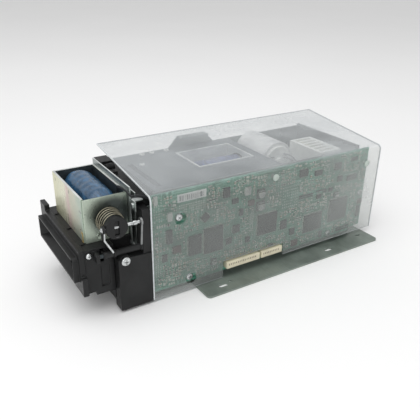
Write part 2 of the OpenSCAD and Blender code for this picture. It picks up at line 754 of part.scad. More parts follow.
// A pan-head screw along X, its head standing out on the + side of x
module screw_x(x, y, z, len, r = head_r) {
  bar_x(x, x + head_h, y, z, r);
  bar_x(x - len, x, y, z, screw_r);
}

module pan_head_screws() color([0.8, 0.8, 0.8]) {
  for (s = board_screws) screw_x(board_x, s[0], s[1], 5.2);
  // screw and washer in the front block
  bar_x(cover_x, cover_x + 0.5, -116.6, 37.4, 2.9);
  screw_x(cover_x + 0.5, -116.6, 37.4, 7, 2.3);
  // screws that hold the bezel's housing
  screw_x(housing_half, -137.2, 43.7, 5, small_head_r);
  mirror([1, 0, 0]) screw_x(housing_half, -137.2, 43.7, 5, small_head_r);
  bar_z(15.6, 17.2, 32.5, -136.8, small_head_r);
  bar_z(17.2, 22, 32.5, -136.8, screw_r);
  for (s = top_screws) {
    bar_z(74, 74 + 1.5, s[0], s[1], small_head_r);
    bar_z(70, 74, s[0], s[1], screw_r);
  }
}

// Side panel, bend and tilted top panel of the cover, grown outwards from the inner face
bend_r = 4;
slope = atan((cover_far_z - cover_near_z) / (2 * cover_x));
bend_steps = 10;
function bend_arc(r) = [for (i = [0:bend_steps]) let (a = (90 + slope) * i / bend_steps)
  [cover_x - bend_r + r * cos(a), cover_near_z - bend_r + r * sin(a)]];
module cover_profile() {
  inner_r = bend_r - cover_t;
  outer = bend_arc(bend_r);
  inner = bend_arc(inner_r);
  run = (2 * cover_x - bend_r) / cos(slope);
  along = [-cos(slope), sin(slope)];
  polygon(concat([[cover_x, 2]], outer, [outer[bend_steps] + run * along],
    [inner[bend_steps] + run * along], [for (i = [bend_steps:-1:0]) inner[i]], [[cover_x - cover_t, 2]]));
}

module clear_cover() color([0.85, 0.9, 0.9, 0.4]) difference() {
  translate([0, cover_front + cover_len, 0]) rotate([90, 0, 0]) linear_extrude(height = cover_len)
    cover_profile();
  slab(cover_x - 3, -44.4, 0, cover_x + 3, 9, 15);
  slab(cover_x - 3, 8, 0, cover_x + 3, 110, 5);
  for (i = [0, 1]) bar_x(cover_x - 3, cover_x + 3, board_screws[i][0], board_screws[i][1], 4.2);
  for (s = rivet_spots) bar_x(cover_x - 3, cover_x + 3, s[0], s[1], 1.6);
}

module cover_rivets() color([0.93, 0.93, 0.9]) for (s = rivet_spots) {
  bar_x(cover_x, cover_x + 1, s[0], s[1], 3);
  bar_x(board_x - board_t - 1, cover_x, s[0], s[1], 1.5);
}

module rear_connector() color([0.92, 0.92, 0.9]) difference() {
  slab(-4, 48, 60, 31.4, 69, 75.2);
  for (i = [0:5]) slab(-1.6 + i * 5.4, 51, 68, 1.8 + i * 5.4, 66, 78);
}

// One lead: straight runs with rounded corners
elbow = 0.04;
module lead(route, r) for (i = [0:len(route) - 2]) {
  hop = route[i + 1] - route[i];
  reach = norm(hop);
  translate(route[i]) rotate([0, acos(hop[2] / reach), atan2(hop[1], hop[0])])
    cylinder(r = r, h = reach, $fn = 24);
  if (i > 0) translate(route[i]) sphere(r = r + elbow, $fn = 24);
}

module wiring() color([0.75, 0.12, 0.1]) {
  for (z = [64.6, 67.4]) lead([[2, motor_y + 5, z], [37.3, motor_y + 1, z]], 0.7);
  lead([[18, -109.6, 73], [20, -109.8, 78], [31, -108.6, 78.6], [33.2, -107.6, 75],
    [33.2, -98, 73.6], [35.6, -92, 70], [35.6, -84, 66]], 0.6);
}

base_plate();
near_side_plate();
far_side_plate();
rear_wall();
front_cross_member();
top_plate();
lower_guide();
upper_guide();
front_block();
shutter_housing();
bezel();
front_bulkhead();
bulkhead_backplate();
corner_bracket();
solenoid_frame();
solenoid_end_plate();
solenoid_bobbin();
solenoid_coil();
lever_pivot_pin();
drive_motor();
timing_belt();
shaft_bushes();
contact_solenoid_frame();
contact_coil();
contact_lever_pin();
optical_sensors();
main_board();
large_chips();
edge_connectors();
board_standoffs();
pan_head_screws();
clear_cover();
cover_rivets();
rear_connector();
wiring();
plunger();
plunger_cap();
cross_pin();
plunger_spring();
shutter_lever();
shutter_blade();
feed_shaft(roller_ys[0]);  // feed_shaft_front
feed_rollers(roller_ys[0]);  // feed_rollers_front
feed_pulley(roller_ys[0]);  // feed_pulley_front
feed_shaft(roller_ys[1]);  // feed_shaft_middle
feed_rollers(roller_ys[1]);  // feed_rollers_middle
feed_pulley(roller_ys[1]);  // feed_pulley_middle
feed_shaft(roller_ys[2]);  // feed_shaft_rear
feed_rollers(roller_ys[2]);  // feed_rollers_rear
feed_pulley(roller_ys[2]);  // feed_pulley_rear
pinch_roller(roller_ys[0]);  // pinch_roller_front
pinch_roller(roller_ys[1]);  // pinch_roller_middle
pinch_roller(roller_ys[2]);  // pinch_roller_rear
motor_pulley();
encoder_disc();
contact_plunger();
contact_lever();
contact_block();
contact_springs();
magnetic_head();
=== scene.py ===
import math
import random
import bmesh
import bpy
from mathutils import Euler, Matrix, Vector, noise


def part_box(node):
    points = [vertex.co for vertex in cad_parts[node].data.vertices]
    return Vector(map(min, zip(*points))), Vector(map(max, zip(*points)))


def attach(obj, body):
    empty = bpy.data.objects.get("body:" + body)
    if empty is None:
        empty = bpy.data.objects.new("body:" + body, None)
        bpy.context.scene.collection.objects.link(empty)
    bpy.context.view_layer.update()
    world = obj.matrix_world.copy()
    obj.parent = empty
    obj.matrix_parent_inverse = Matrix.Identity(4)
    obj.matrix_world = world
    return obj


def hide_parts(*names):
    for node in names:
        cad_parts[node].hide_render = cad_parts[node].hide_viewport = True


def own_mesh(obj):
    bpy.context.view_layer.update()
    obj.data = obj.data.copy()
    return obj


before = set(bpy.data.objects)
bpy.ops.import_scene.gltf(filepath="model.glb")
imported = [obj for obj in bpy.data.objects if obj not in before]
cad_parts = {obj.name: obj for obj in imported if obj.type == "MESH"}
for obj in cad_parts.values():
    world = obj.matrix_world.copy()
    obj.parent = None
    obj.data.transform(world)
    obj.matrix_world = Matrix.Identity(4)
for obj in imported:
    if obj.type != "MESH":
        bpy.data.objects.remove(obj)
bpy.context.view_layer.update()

bl_info = {
    "name": "Motorised card reader",
    "version": (1, 0, 0),
    "blender": (4, 5, 0),
    "location": "3D View > Sidebar > Card reader",
    "description": "Builds the finished surfaces of a motorised card reader on its fixed frame",
    "category": "Add Mesh",
}

MM = 0.001
X, Y, Z = Vector((1, 0, 0)), Vector((0, 1, 0)), Vector((0, 0, 1))
FEED_PLACES = ("front", "middle", "rear")
MERGE = 1e-6
# height of a pulley's flange over the root of its teeth, in millimetres
FLANGE = 1.8
# a screw head wider than this stands on a washer
WASHER_FROM = 3.2 * MM
# numbers of track bundles and test pads, and the most places tried for small parts
TRACK_BUNDLES, TEST_PADS, MOST_TRIES = 170, 420, 16000
# seeds of the board's three patterns
TRACK_SEED, PART_SEED, PAD_SEED = 11, 5, 3
# steel parts that keep their frame shape: bright steel on all but the lever pivot pin, which takes the dark
# plate
PLAIN_STEEL_NODES = (
    "lever_pivot_pin", "contact_lever_pin", "feed_shaft_front", "feed_shaft_middle",
    "feed_shaft_rear", "contact_plunger",
)


# ---------------------------------------------------------------- sizes and colours

def length(name, description, default, low=0.0, high=0.1):
    return bpy.props.FloatProperty(
        name=name, description=description, default=default, min=low, max=high, unit="LENGTH",
        precision=5)


def tint(name, description, default):
    return bpy.props.FloatVectorProperty(
        name=name, description=description, default=default, size=3, min=0.0, max=1.0,
        subtype="COLOR")


class CARDREADER_PG_sizes(bpy.types.PropertyGroup):
    """Sizes of the finishing details."""
    moulding_edge: length("Moulding edge", "Radius on the edges of the black mouldings", 0.45 * MM)
    sheet_edge: length("Sheet edge", "Radius on the edges of the metal sheets", 0.18 * MM)
    spring_wire: length("Spring wire", "Radius of the plunger spring's wire", 0.4 * MM)
    spring_radius: length("Spring radius", "Mean radius of the plunger spring at the plate", 7.9 * MM)
    spring_end: length("Spring end", "Mean radius of the plunger spring at the cap", 7.05 * MM)
    belt_pitch: length("Belt pitch", "Distance between the belt's teeth", 3.0 * MM)
    lead_radius: length("Lead radius", "Radius of an insulated lead", 0.55 * MM)
    pin_pitch: length("Pin pitch", "Distance between the leads of a large chip", 0.8 * MM)
    spring_turns: bpy.props.FloatProperty(
        name="Spring turns", description="Number of turns of the plunger spring", default=4.5,
        min=2.0, max=9.0)
    # painted highlight: a strip this wide along the cover's front and rear ends gets the bright edge glow
    # finish
    edge_glow_width: length("Bright lip", "Width of the cover's edge that carries light", 0.8 * MM)
    small_parts: bpy.props.IntProperty(
        name="Small parts", description="How many resistors and capacitors are on the board",
        default=820, min=0, max=1500)


class CARDREADER_PG_colours(bpy.types.PropertyGroup):
    """Base colours of the finishes."""
    moulding: tint("Moulding", "Black moulded plastic", (0.0125, 0.013, 0.0132))
    sheet: tint("Sheet", "Zinc-plated sheet", (0.36, 0.40, 0.385))
    base: tint("Base plate", "Grey-green passivated base plate", (0.235, 0.275, 0.245))
    bright: tint("Bright steel", "Turned and drawn steel", (0.62, 0.64, 0.64))
    spring: tint("Spring", "Oiled spring wire", (0.30, 0.28, 0.21))
    tape: tint("Winding tape", "Polyester tape round the winding", (0.024, 0.085, 0.17))
    board: tint("Board", "Solder mask of the circuit board", (0.034, 0.172, 0.112))
    chip: tint("Chip", "Moulded epoxy of the chips", (0.026, 0.025, 0.027))
    cream: tint("Connector", "Cream connector housings", (0.70, 0.65, 0.49))
    nylon: tint("Nylon", "White nylon parts", (0.86, 0.87, 0.84))
    cover: tint("Cover", "Milky clear cover sheet", (0.33, 0.35, 0.34))
    # painted light: the cover's top is given a paler haze colour than its sides, as if more brightly lit
    dust_and_painted_light: tint("Cover top", "Dustier top of the cover sheet", (0.50, 0.525, 0.535))
    motor: tint("Motor can", "Bright drawn motor can", (0.90, 0.91, 0.91))
    floor: tint("Floor", "Pale studio floor", (0.90, 0.90, 0.90))


class CARDREADER_PG_studio(bpy.types.PropertyGroup):
    """Camera and light."""
    camera_place: bpy.props.FloatVectorProperty(
        name="Camera place", description="Where the camera stands", size=3,
        default=(0.30329, -0.22198, 0.20293), subtype="TRANSLATION", unit="LENGTH")
    camera_turn: bpy.props.FloatVectorProperty(
        name="Camera turn", description="How the camera is turned", size=3,
        default=tuple(math.radians(a) for a in (64.768, -0.784, 57.914)), subtype="EULER")
    lens: bpy.props.FloatProperty(
        name="Lens", description="Focal length in millimetres", default=45.104, min=20.0, max=120.0)
    key_power: bpy.props.FloatProperty(
        name="Key light", description="Power of the large soft light in watts", default=9.3, min=0.0)
    fill_power: bpy.props.FloatProperty(
        name="Fill light", description="Power of the fill light in watts", default=1.6, min=0.0)
    sky: bpy.props.FloatProperty(
        name="Sky", description="Strength of the even light all round", default=0.68, min=0.0)


def sizes():
    return bpy.context.scene.card_reader_sizes


def colours():
    return bpy.context.scene.card_reader_colours


def studio():
    return bpy.context.scene.card_reader_studio


# ---------------------------------------------------------------- finishes

class Finish:
    """A node material being put together; its patterns follow the object's own metres."""

    def __init__(self, name, colour, roughness=0.5, metallic=0.0, **shader):
        self.material = bpy.data.materials.new(name)
        self.material.use_nodes = True
        self.tree = self.material.node_tree
        self.shader = self.tree.nodes["Principled BSDF"]
        self.shader.inputs["Base Color"].default_value = (*colour, 1)
        self.shader.inputs["Roughness"].default_value = roughness
        self.shader.inputs["Metallic"].default_value = metallic
        for socket, value in shader.items():
            self.shader.inputs[socket.replace("_", " ")].default_value = value
        self.place = self.add("ShaderNodeTexCoord").outputs["Object"]

    def add(self, kind, inputs=(), **settings):
        node = self.tree.nodes.new(kind)
        for setting, value in settings.items():
            setattr(node, setting, value)
        for socket, value in dict(inputs).items():
            if isinstance(value, bpy.types.NodeSocket):
                self.tree.links.new(value, node.inputs[socket])
            else:
                node.inputs[socket].default_value = value
        return node

    def moved(self, shift=(0, 0, 0), stretch=(1, 1, 1)):
        node = self.add("ShaderNodeMapping", {
            "Vector": self.place, "Location": shift, "Scale": stretch})
        return node.outputs["Vector"]

    def noise(self, scale, detail=3.0, at=None, distortion=0.0):
        node = self.add("ShaderNodeTexNoise", {
            "Vector": at or self.place, "Scale": scale, "Detail": detail,
            "Distortion": distortion})
        return node.outputs["Fac"]

    def cells(self, scale, output="Distance", at=None):
        node = self.add("ShaderNodeTexVoronoi", {"Vector": at or self.place, "Scale": scale})
        return node.outputs[output]

    def part(self, letter):
        return self.add("ShaderNodeSeparateXYZ", {"Vector": self.place}).outputs[letter]

    def math(self, operation, a, b=0.0):
        node = self.add("ShaderNodeMath", {0: a, 1: b}, operation=operation)
        return node.outputs["Value"]

    def ramp(self, value, *stops):
        node = self.add("ShaderNodeValToRGB", {"Fac": value})
        points = node.color_ramp.elements
        while len(points) < len(stops):
            points.new(0.5)
        for point, (position, colour) in zip(points, stops):
            point.position = position
            grey = not hasattr(colour, "__len__")
            point.color = (colour, colour, colour, 1) if grey else (*colour, 1)
        return node.outputs["Color"]

    def mix(self, factor, a, b, how="MIX"):
        node = self.add("ShaderNodeMix", data_type="RGBA", blend_type=how)
        for index, value in ((0, factor), (6, a), (7, b)):
            if isinstance(value, bpy.types.NodeSocket):
                self.tree.links.new(value, node.inputs[index])
            elif index == 0:
                node.inputs[index].default_value = value
            else:
                node.inputs[index].default_value = (*value, 1)
        return node.outputs[2]

    def paint(self, socket):
        self.tree.links.new(socket, self.shader.inputs["Base Color"])
        return self

    def gloss(self, value, low, high):
        spread = self.add("ShaderNodeMapRange", {
            "Value": value, "From Min": 0.3, "From Max": 0.7, "To Min": low, "To Max": high})
        self.tree.links.new(spread.outputs["Result"], self.shader.inputs["Roughness"])
        return self

    def relief(self, height, depth, strength=1.0):
        node = self.add("ShaderNodeBump", {
            "Height": height, "Distance": depth, "Strength": strength})
        self.tree.links.new(node.outputs["Normal"], self.shader.inputs["Normal"])
        return self


def shade(colour, factor):
    return tuple(min(1.0, c * factor) for c in colour)


def moulded_plastic(name, colour, roughness=0.42, grain=2600.0, spread=0.35):
    """Fine-grained moulded plastic with faint flow marks."""
    finish = Finish(name, colour, roughness, Specular_IOR_Level=0.26)
    flow = finish.noise(90.0, 4.0, distortion=0.6)
    grains = finish.noise(grain, 2.0)
    finish.paint(finish.ramp(flow, (0.25, shade(colour, 1 - spread)), (0.75, shade(colour, 1 + spread))))
    finish.gloss(finish.noise(420.0), roughness - 0.06, roughness + 0.08)
    return finish.relief(grains, 0.03 * MM, 0.35).material


def rolled_sheet(name, colour, roughness=0.34, metallic=0.85, along=(1, 0.05, 1)):
    """Plated sheet: fine rolling lines, soft blotches and a light handling haze."""
    finish = Finish(name, colour, roughness, metallic)
    lines = finish.noise(2400.0, 2.0, finish.moved(stretch=along))
    blotch = finish.noise(55.0, 5.0, distortion=0.8)
    base = finish.ramp(blotch, (0.3, shade(colour, 0.78)), (0.7, shade(colour, 1.18)))
    finish.paint(finish.mix(0.22, base, finish.ramp(lines, (0.3, 0.25), (0.7, 0.95)), "MULTIPLY"))
    finish.gloss(blotch, roughness - 0.08, roughness + 0.12)
    return finish.relief(lines, 0.01 * MM, 0.25).material


def iridescent_plate(name, gradient, roughness=0.30, painted_cap_reflection=None):
    """Passivated zinc: the colour drifts from straw through rose to green; a painted reflection can darken a
    soft disc round an axis.
    """
    finish = Finish(name, gradient[0][1], roughness, 0.55)
    drift = finish.noise(38.0, 3.0, finish.moved(stretch=(1, 1, 0.55)), 1.2)
    along = finish.part("X")
    reach = finish.add("ShaderNodeMapRange", {
        "Value": along, "From Min": -0.030, "From Max": 0.030}).outputs["Result"]
    where = finish.math("ADD", reach, finish.math("MULTIPLY", finish.math("SUBTRACT", drift, 0.5), 0.7))
    colour = finish.ramp(where, *gradient)
    grain = finish.noise(900.0, 4.0)
    colour = finish.mix(0.18, colour, finish.ramp(grain, (0.35, 0.55), (0.65, 1.0)), "MULTIPLY")
    # painted reflection: a soft dark disc round the plunger axis stands in for the black cap mirrored in the
    # plate
    if painted_cap_reflection:
        middle, inner, outer = painted_cap_reflection
        offset = finish.moved(shift=(0, -middle.y, -middle.z), stretch=(0, 1, 1))
        distance = finish.add("ShaderNodeVectorMath", {0: offset}, operation="LENGTH").outputs["Value"]
        uneven = finish.math("ADD", distance, finish.math("MULTIPLY", drift, 6 * MM))
        veil = finish.add("ShaderNodeMapRange", {
            "Value": uneven, "From Min": inner, "From Max": outer}, interpolation_type="SMOOTHSTEP")
        colour = finish.mix(veil.outputs["Result"], (0.045, 0.055, 0.05), colour)
    finish.paint(colour)
    finish.gloss(drift, roughness - 0.06, roughness + 0.12)
    return finish.relief(grain, 0.012 * MM, 0.3).material


def turned_metal(name, colour, roughness=0.24, metallic=1.0):
    """Turned or drawn metal with fine tool lines and a little staining."""
    finish = Finish(name, colour, roughness, metallic)
    lines = finish.noise(5200.0, 1.0, finish.moved(stretch=(1, 1, 0.2)))
    stain = finish.noise(260.0, 4.0)
    finish.paint(finish.ramp(stain, (0.3, shade(colour, 0.72)), (0.62, shade(colour, 1.12))))
    finish.gloss(stain, roughness - 0.06, roughness + 0.14)
    return finish.relief(lines, 0.006 * MM, 0.3).material


def winding_tape(name, colour):
    """Wrinkled polyester tape, paler where it lifts, the pale streaks also standing in for painted sheen on
    the wrinkles.
    """
    finish = Finish(name, colour, 0.3, Coat_Weight=0.4, Coat_Roughness=0.25)
    wrinkle = finish.noise(210.0, 6.0, finish.moved(stretch=(0.45, 1, 1)), 1.8)
    laps = finish.cells(120.0, at=finish.moved(stretch=(1, 0.35, 0.35)))
    # the pale end of this ramp is partly the look of lifted tape and partly painted sheen along the wrinkles
    colour_now = finish.ramp(wrinkle, (0.30, shade(colour, 0.6)), (0.52, colour), (0.72, shade(colour, 2.0)))
    colour_now = finish.mix(0.2, colour_now, finish.ramp(laps, (0.0, 1.0), (0.6, 0.55)), "MULTIPLY")
    finish.paint(colour_now)
    finish.gloss(wrinkle, 0.22, 0.42)
    return finish.relief(wrinkle, 0.35 * MM, 0.6).material


def ground_rubber(name, colour, scale=1500.0):
    """Matt ground rubber with a dusty bloom."""
    finish = Finish(name, colour, 0.78)
    dust_and_painted_light = finish.noise(scale * 0.2, 5.0)
    finish.paint(finish.ramp(dust_and_painted_light, (0.35, shade(colour, 0.7)), (0.75, shade(colour, 1.9))))
    finish.gloss(dust_and_painted_light, 0.68, 0.88)
    return finish.relief(finish.noise(scale, 3.0), 0.05 * MM, 0.5).material


def solder_mask(name, colour):
    """Glossy green mask: copper pours show lighter, track fields run in two directions."""
    finish = Finish(name, colour, 0.32, Coat_Weight=0.25, Coat_Roughness=0.2)
    pour = finish.cells(62.0, "Color", finish.moved(stretch=(1, 1, 1.6)))
    pour = finish.ramp(finish.add("ShaderNodeRGBToBW", {"Color": pour}).outputs["Val"],
                       (0.42, 0.0), (0.46, 1.0))
    base = finish.mix(pour, colour, tuple(c * 1.35 + 0.02 for c in colour))
    across = finish.noise(1150.0, 1.0, finish.moved(stretch=(1, 0.06, 1)))
    upright = finish.noise(1150.0, 1.0, finish.moved(stretch=(1, 1, 0.06)))
    choose = finish.ramp(finish.noise(46.0, 2.0), (0.47, 0.0), (0.53, 1.0))
    tracks = finish.mix(choose, finish.ramp(across, (0.53, 0.0), (0.56, 1.0)),
                        finish.ramp(upright, (0.53, 0.0), (0.56, 1.0)))
    field = finish.ramp(finish.noise(30.0, 2.0), (0.36, 0.0), (0.46, 0.8))
    lit = finish.mix(1.0, tracks, field, "MULTIPLY")
    pale = tuple(min(1.0, c * 1.8 + 0.17) for c in colour)
    base = finish.mix(lit, base, pale)
    vias = finish.ramp(finish.cells(420.0), (0.10, 1.0), (0.15, 0.0))
    base = finish.mix(finish.mix(1.0, vias, field, "MULTIPLY"), base, (0.42, 0.50, 0.44))
    finish.paint(base)
    return finish.relief(lit, 0.03 * MM, 0.5).material


def soldered(name, colour=(0.70, 0.73, 0.66)):
    """Tinned copper and solder fillets."""
    finish = Finish(name, colour, 0.34, 0.35)
    grain = finish.noise(1800.0, 3.0)
    finish.paint(finish.ramp(grain, (0.3, shade(colour, 0.7)), (0.7, shade(colour, 1.2))))
    return finish.gloss(grain, 0.2, 0.42).material


def moulded_epoxy(name, colour):
    """Chip epoxy: satin with a fine speckle."""
    finish = Finish(name, colour, 0.5)
    speckle = finish.noise(2600.0, 2.0)
    finish.paint(finish.ramp(speckle, (0.3, shade(colour, 0.94)), (0.7, shade(colour, 1.08))))
    finish.gloss(finish.noise(300.0), 0.42, 0.58)
    return finish.relief(speckle, 0.01 * MM, 0.15).material


def barred_label(name, low, high):
    """White label with a plain band of upright bars."""
    finish = Finish(name, (0.80, 0.82, 0.80), 0.55)
    along = finish.add("ShaderNodeMapRange", {
        "Value": finish.part("Y"), "From Min": low.y, "From Max": high.y}).outputs["Result"]
    up = finish.add("ShaderNodeMapRange", {
        "Value": finish.part("Z"), "From Min": low.z, "From Max": high.z}).outputs["Result"]
    step = finish.math("FLOOR", finish.math("MULTIPLY", along, 92.0))
    bars = finish.add("ShaderNodeTexWhiteNoise", {"W": step}, noise_dimensions="1D").outputs["Value"]
    bars = finish.ramp(bars, (0.46, 0.0), (0.50, 1.0))
    band_up = finish.ramp(up, (0.15, 0.0), (0.18, 1.0), (0.78, 1.0), (0.82, 0.0))
    band_along = finish.ramp(along, (0.06, 0.0), (0.08, 1.0), (0.90, 1.0), (0.93, 0.0))
    inked = finish.mix(1.0, finish.mix(1.0, bars, band_up, "MULTIPLY"), band_along, "MULTIPLY")
    paper = finish.ramp(finish.noise(500.0), (0.3, (0.72, 0.74, 0.73)), (0.7, (0.86, 0.88, 0.87)))
    return finish.paint(finish.mix(inked, paper, (0.26, 0.27, 0.28))).material


def milky_sheet(name, colour, clear=0.80, painted_rear_light=0.65):
    """Hazy clear sheet: the lower the angle it is seen at, the more haze it shows."""
    finish = Finish(name, colour, 0.22, IOR=1.35)
    facing = finish.add("ShaderNodeLayerWeight", {"Blend": 0.5}).outputs["Facing"]
    square_on = finish.math("MAXIMUM", finish.math("SUBTRACT", 1.0, facing), 0.12)
    through = finish.math("POWER", clear, finish.math("DIVIDE", 1.0, square_on))
    haze = finish.math("SUBTRACT", 1.0, through)
    scuff = finish.noise(70.0, 5.0, finish.moved(stretch=(1, 0.4, 1)), 0.5)
    scuff = finish.add("ShaderNodeMapRange", {
        "Value": scuff, "From Min": 0.3, "From Max": 0.7, "To Min": 0.88, "To Max": 1.12})
    cloud = finish.add("ShaderNodeMapRange", {
        "Value": finish.noise(19.0, 2.0), "From Min": 0.36, "From Max": 0.62, "To Min": 0.84, "To Max": 1.26})
    veil = finish.math("MULTIPLY", haze, scuff.outputs["Result"])
    veil = finish.math("MULTIPLY", veil, cloud.outputs["Result"])
    finish.tree.links.new(veil, finish.shader.inputs["Alpha"])
    tone = finish.noise(40.0, 3.0)
    tone = finish.ramp(tone, (0.3, shade(colour, 0.96)), (0.7, shade(colour, 1.03)))
    # painted light: the sheet's colour grows paler towards the rear
    rearward = finish.add("ShaderNodeMapRange", {
        "Value": finish.part("Y"), "From Min": -0.02, "From Max": 0.10, "To Min": 0.0, "To Max": painted_rear_light})
    finish.paint(finish.mix(rearward.outputs["Result"], tone, shade(colour, 1.9)))
    finish.material.surface_render_method = "BLENDED"
    return finish.material


def milky_edge_glow(name, colour):
    """The milky cut edge of a clear sheet, coloured brighter than the sheet: a painted glow of light carried
    along it.
    """
    finish = Finish(name, colour, 0.35, Alpha=0.94)
    marks = finish.noise(900.0, 2.0)
    finish.paint(finish.ramp(marks, (0.3, shade(colour, 0.82)), (0.7, shade(colour, 1.05))))
    return finish.relief(marks, 0.05 * MM, 0.4).material


def studio_floor(name, colour):
    """Plain pale floor with the faintest unevenness."""
    finish = Finish(name, colour, 0.85)
    tone = finish.noise(3.0, 2.0)
    return finish.paint(finish.ramp(tone, (0.3, shade(colour, 0.985)), (0.7, shade(colour, 1.0)))).material


def make_finishes():
    """Every finish by name, made once."""
    c = colours()
    plunger_axis = extent("plunger")[2]
    straw, rose, green = (0.62, 0.61, 0.40), (0.60, 0.46, 0.43), (0.42, 0.50, 0.42)
    drift = ((0.0, straw), (0.32, (0.66, 0.66, 0.50)), (0.52, rose), (0.68, (0.56, 0.54, 0.43)), (0.9, green))
    label_low, label_high = label_corners()
    return {
        "moulding": moulded_plastic("black moulding", c.moulding, 0.36),
        "inner moulding": moulded_plastic("black inner moulding", shade(c.moulding, 1.3), 0.55),
        "gloss moulding": moulded_plastic("black gloss moulding", shade(c.moulding, 0.8), 0.24, 1200.0),
        "sheet": rolled_sheet("zinc plated sheet", c.sheet),
        "base": rolled_sheet("passivated base plate", c.base, 0.38, 0.35, (0.06, 1, 1)),
        "top sheet": rolled_sheet("shaded top plate", (0.15, 0.175, 0.19), 0.4, 0.5),
        "window rim": rolled_sheet("bright window frame", (0.74, 0.76, 0.75), 0.4, 0.15),
        "inner winding": winding_tape("blue inner winding", (0.06, 0.09, 0.24)),
        "frame plate": iridescent_plate("iridescent frame plate", drift),
        # the end plate carries a painted reflection of the black cap: a dark disc round the plunger axis,
        # fading out between 12 and 21 mm from it
        "end plate": iridescent_plate(
            "iridescent end plate",
            ((0.2, (0.50, 0.53, 0.42)), (0.55, (0.34, 0.46, 0.38)), (0.85, (0.46, 0.53, 0.44))), 0.26,
            (plunger_axis + mm(0, 3, 2), 12.0 * MM, 21.0 * MM)),
        "bright steel": turned_metal("bright steel", c.bright),
        "dull steel": turned_metal("dull steel", shade(c.bright, 0.45), 0.42),
        "spring wire": turned_metal("oiled spring wire", c.spring, 0.3, 0.85),
        "tape": winding_tape("blue winding tape", c.tape),
        "amber tape": winding_tape("amber insulating tape", (0.42, 0.30, 0.10)),
        "rubber": ground_rubber("roller rubber", (0.030, 0.030, 0.032)),
        "belt": ground_rubber("belt rubber", (0.020, 0.020, 0.021), 2400.0),
        "board": solder_mask("green solder mask", c.board),
        "track": moulded_plastic("masked copper track", (0.19, 0.31, 0.24), 0.34, 3000.0, 0.2),
        "pad": soldered("tinned pad"),
        "gold": turned_metal("gold plated contact", (0.85, 0.62, 0.24), 0.22),
        "brass": turned_metal("turned brass", (0.66, 0.50, 0.20), 0.3),
        "chip": moulded_epoxy("chip epoxy", c.chip),
        "dimple": moulded_epoxy("chip dimple", shade(c.chip, 2.4)),
        "ceramic": moulded_epoxy("ceramic capacitor", (0.34, 0.30, 0.22)),
        "resistor": moulded_epoxy("resistor film", (0.02, 0.022, 0.03)),
        "brown part": moulded_epoxy("brown moulded part", (0.10, 0.05, 0.045)),
        "silver can": turned_metal("crystal can", (0.55, 0.58, 0.55), 0.34),
        "cream": moulded_plastic("cream connector nylon", c.cream, 0.46, 1800.0, 0.16),
        "nylon": moulded_plastic("white nylon", c.nylon, 0.42, 1800.0, 0.1),
        "motor": rolled_sheet("drawn motor can", c.motor, 0.3, 0.08, (0.05, 1, 1)),
        "lead": moulded_plastic("dark lead sleeve", (0.030, 0.031, 0.034), 0.4, 1500.0, 0.3),
        "brown lead": moulded_plastic("brown lead sleeve", (0.07, 0.045, 0.04), 0.4, 1500.0, 0.2),
        "cover": milky_sheet("milky cover sheet", c.cover),
        # painted light: the cover top is made paler than the sides
        "cover top": milky_sheet("cover top painted light", c.dust_and_painted_light, 0.84, 0.08),
        # painted highlight: the cover's cut edges and end strips glow brighter than the sheet
        "cover edge glow": milky_edge_glow("milky edge painted glow", shade(c.dust_and_painted_light, 1.35)),
        "dark plate": turned_metal("shaded plate", (0.035, 0.045, 0.05), 0.5, 0.3),
        "label": barred_label("barred label", label_low, label_high),
        # painted highlight for the upward faces of sheets and of the solenoid frame's top
        "bright edge": rolled_sheet("painted top highlight", (0.72, 0.75, 0.74), 0.3, 0.4),
        "rivet nylon": moulded_plastic("clouded rivet nylon", (0.46, 0.52, 0.48), 0.42, 1800.0, 0.12),
        "head": turned_metal("lapped head face", (0.60, 0.60, 0.57), 0.16),
    }


FINISHES = {}


def look(name):
    if name not in FINISHES:
        FINISHES.update(make_finishes())
    return FINISHES[name]


# ---------------------------------------------------------------- mesh tools

def mm(*values):
    return Vector([v * MM for v in values])


def extent(node):
    """The low corner, the high corner and the middle of a frame part."""
    low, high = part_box(node)
    return low, high, (low + high) / 2


def on_axis(x, middle):
    """The point at x on the cross axis through middle."""
    return Vector((x, middle.y, middle.z))


def ring(start, run, bore, radius, corner):
    """Outline of a turned ring with its outer corners taken off."""
    end = start + run
    return ((start, bore), (start, radius - corner), (start + corner, radius), (end - corner, radius),
            (end, radius - corner), (end, bore), (start, bore))


def aim(start, direction):
    """A frame at start whose Z runs in the given direction."""
    return Matrix.Translation(start) @ direction.to_track_quat("Z", "Y").to_matrix().to_4x4()


def tint_made(made, material):
    """Gives the faces round newly made vertices a finish."""
    for vert in made["verts"]:
        for face in vert.link_faces:
            face.material_index = material


def add_block(bm, low, high, material=0, turn=None):
    """A block between two corners, turned about its middle if a rotation is given."""
    middle, size = (low + high) / 2, high - low
    place = Matrix.Translation(middle)
    if turn:
        place = place @ turn
    made = bmesh.ops.create_cube(bm, size=1.0, matrix=place @ Matrix.Diagonal((*size, 1)))
    tint_made(made, material)


def add_rod(bm, start, end, radius, sides=20, tip=None, material=0):
    """A round bar between two points; tip is its radius at the end if it tapers."""
    run = end - start
    made = bmesh.ops.create_cone(
        bm, cap_ends=True, segments=sides, radius1=radius, radius2=radius if tip is None else tip,
        depth=run.length, matrix=aim((start + end) / 2, run))
    tint_made(made, material)


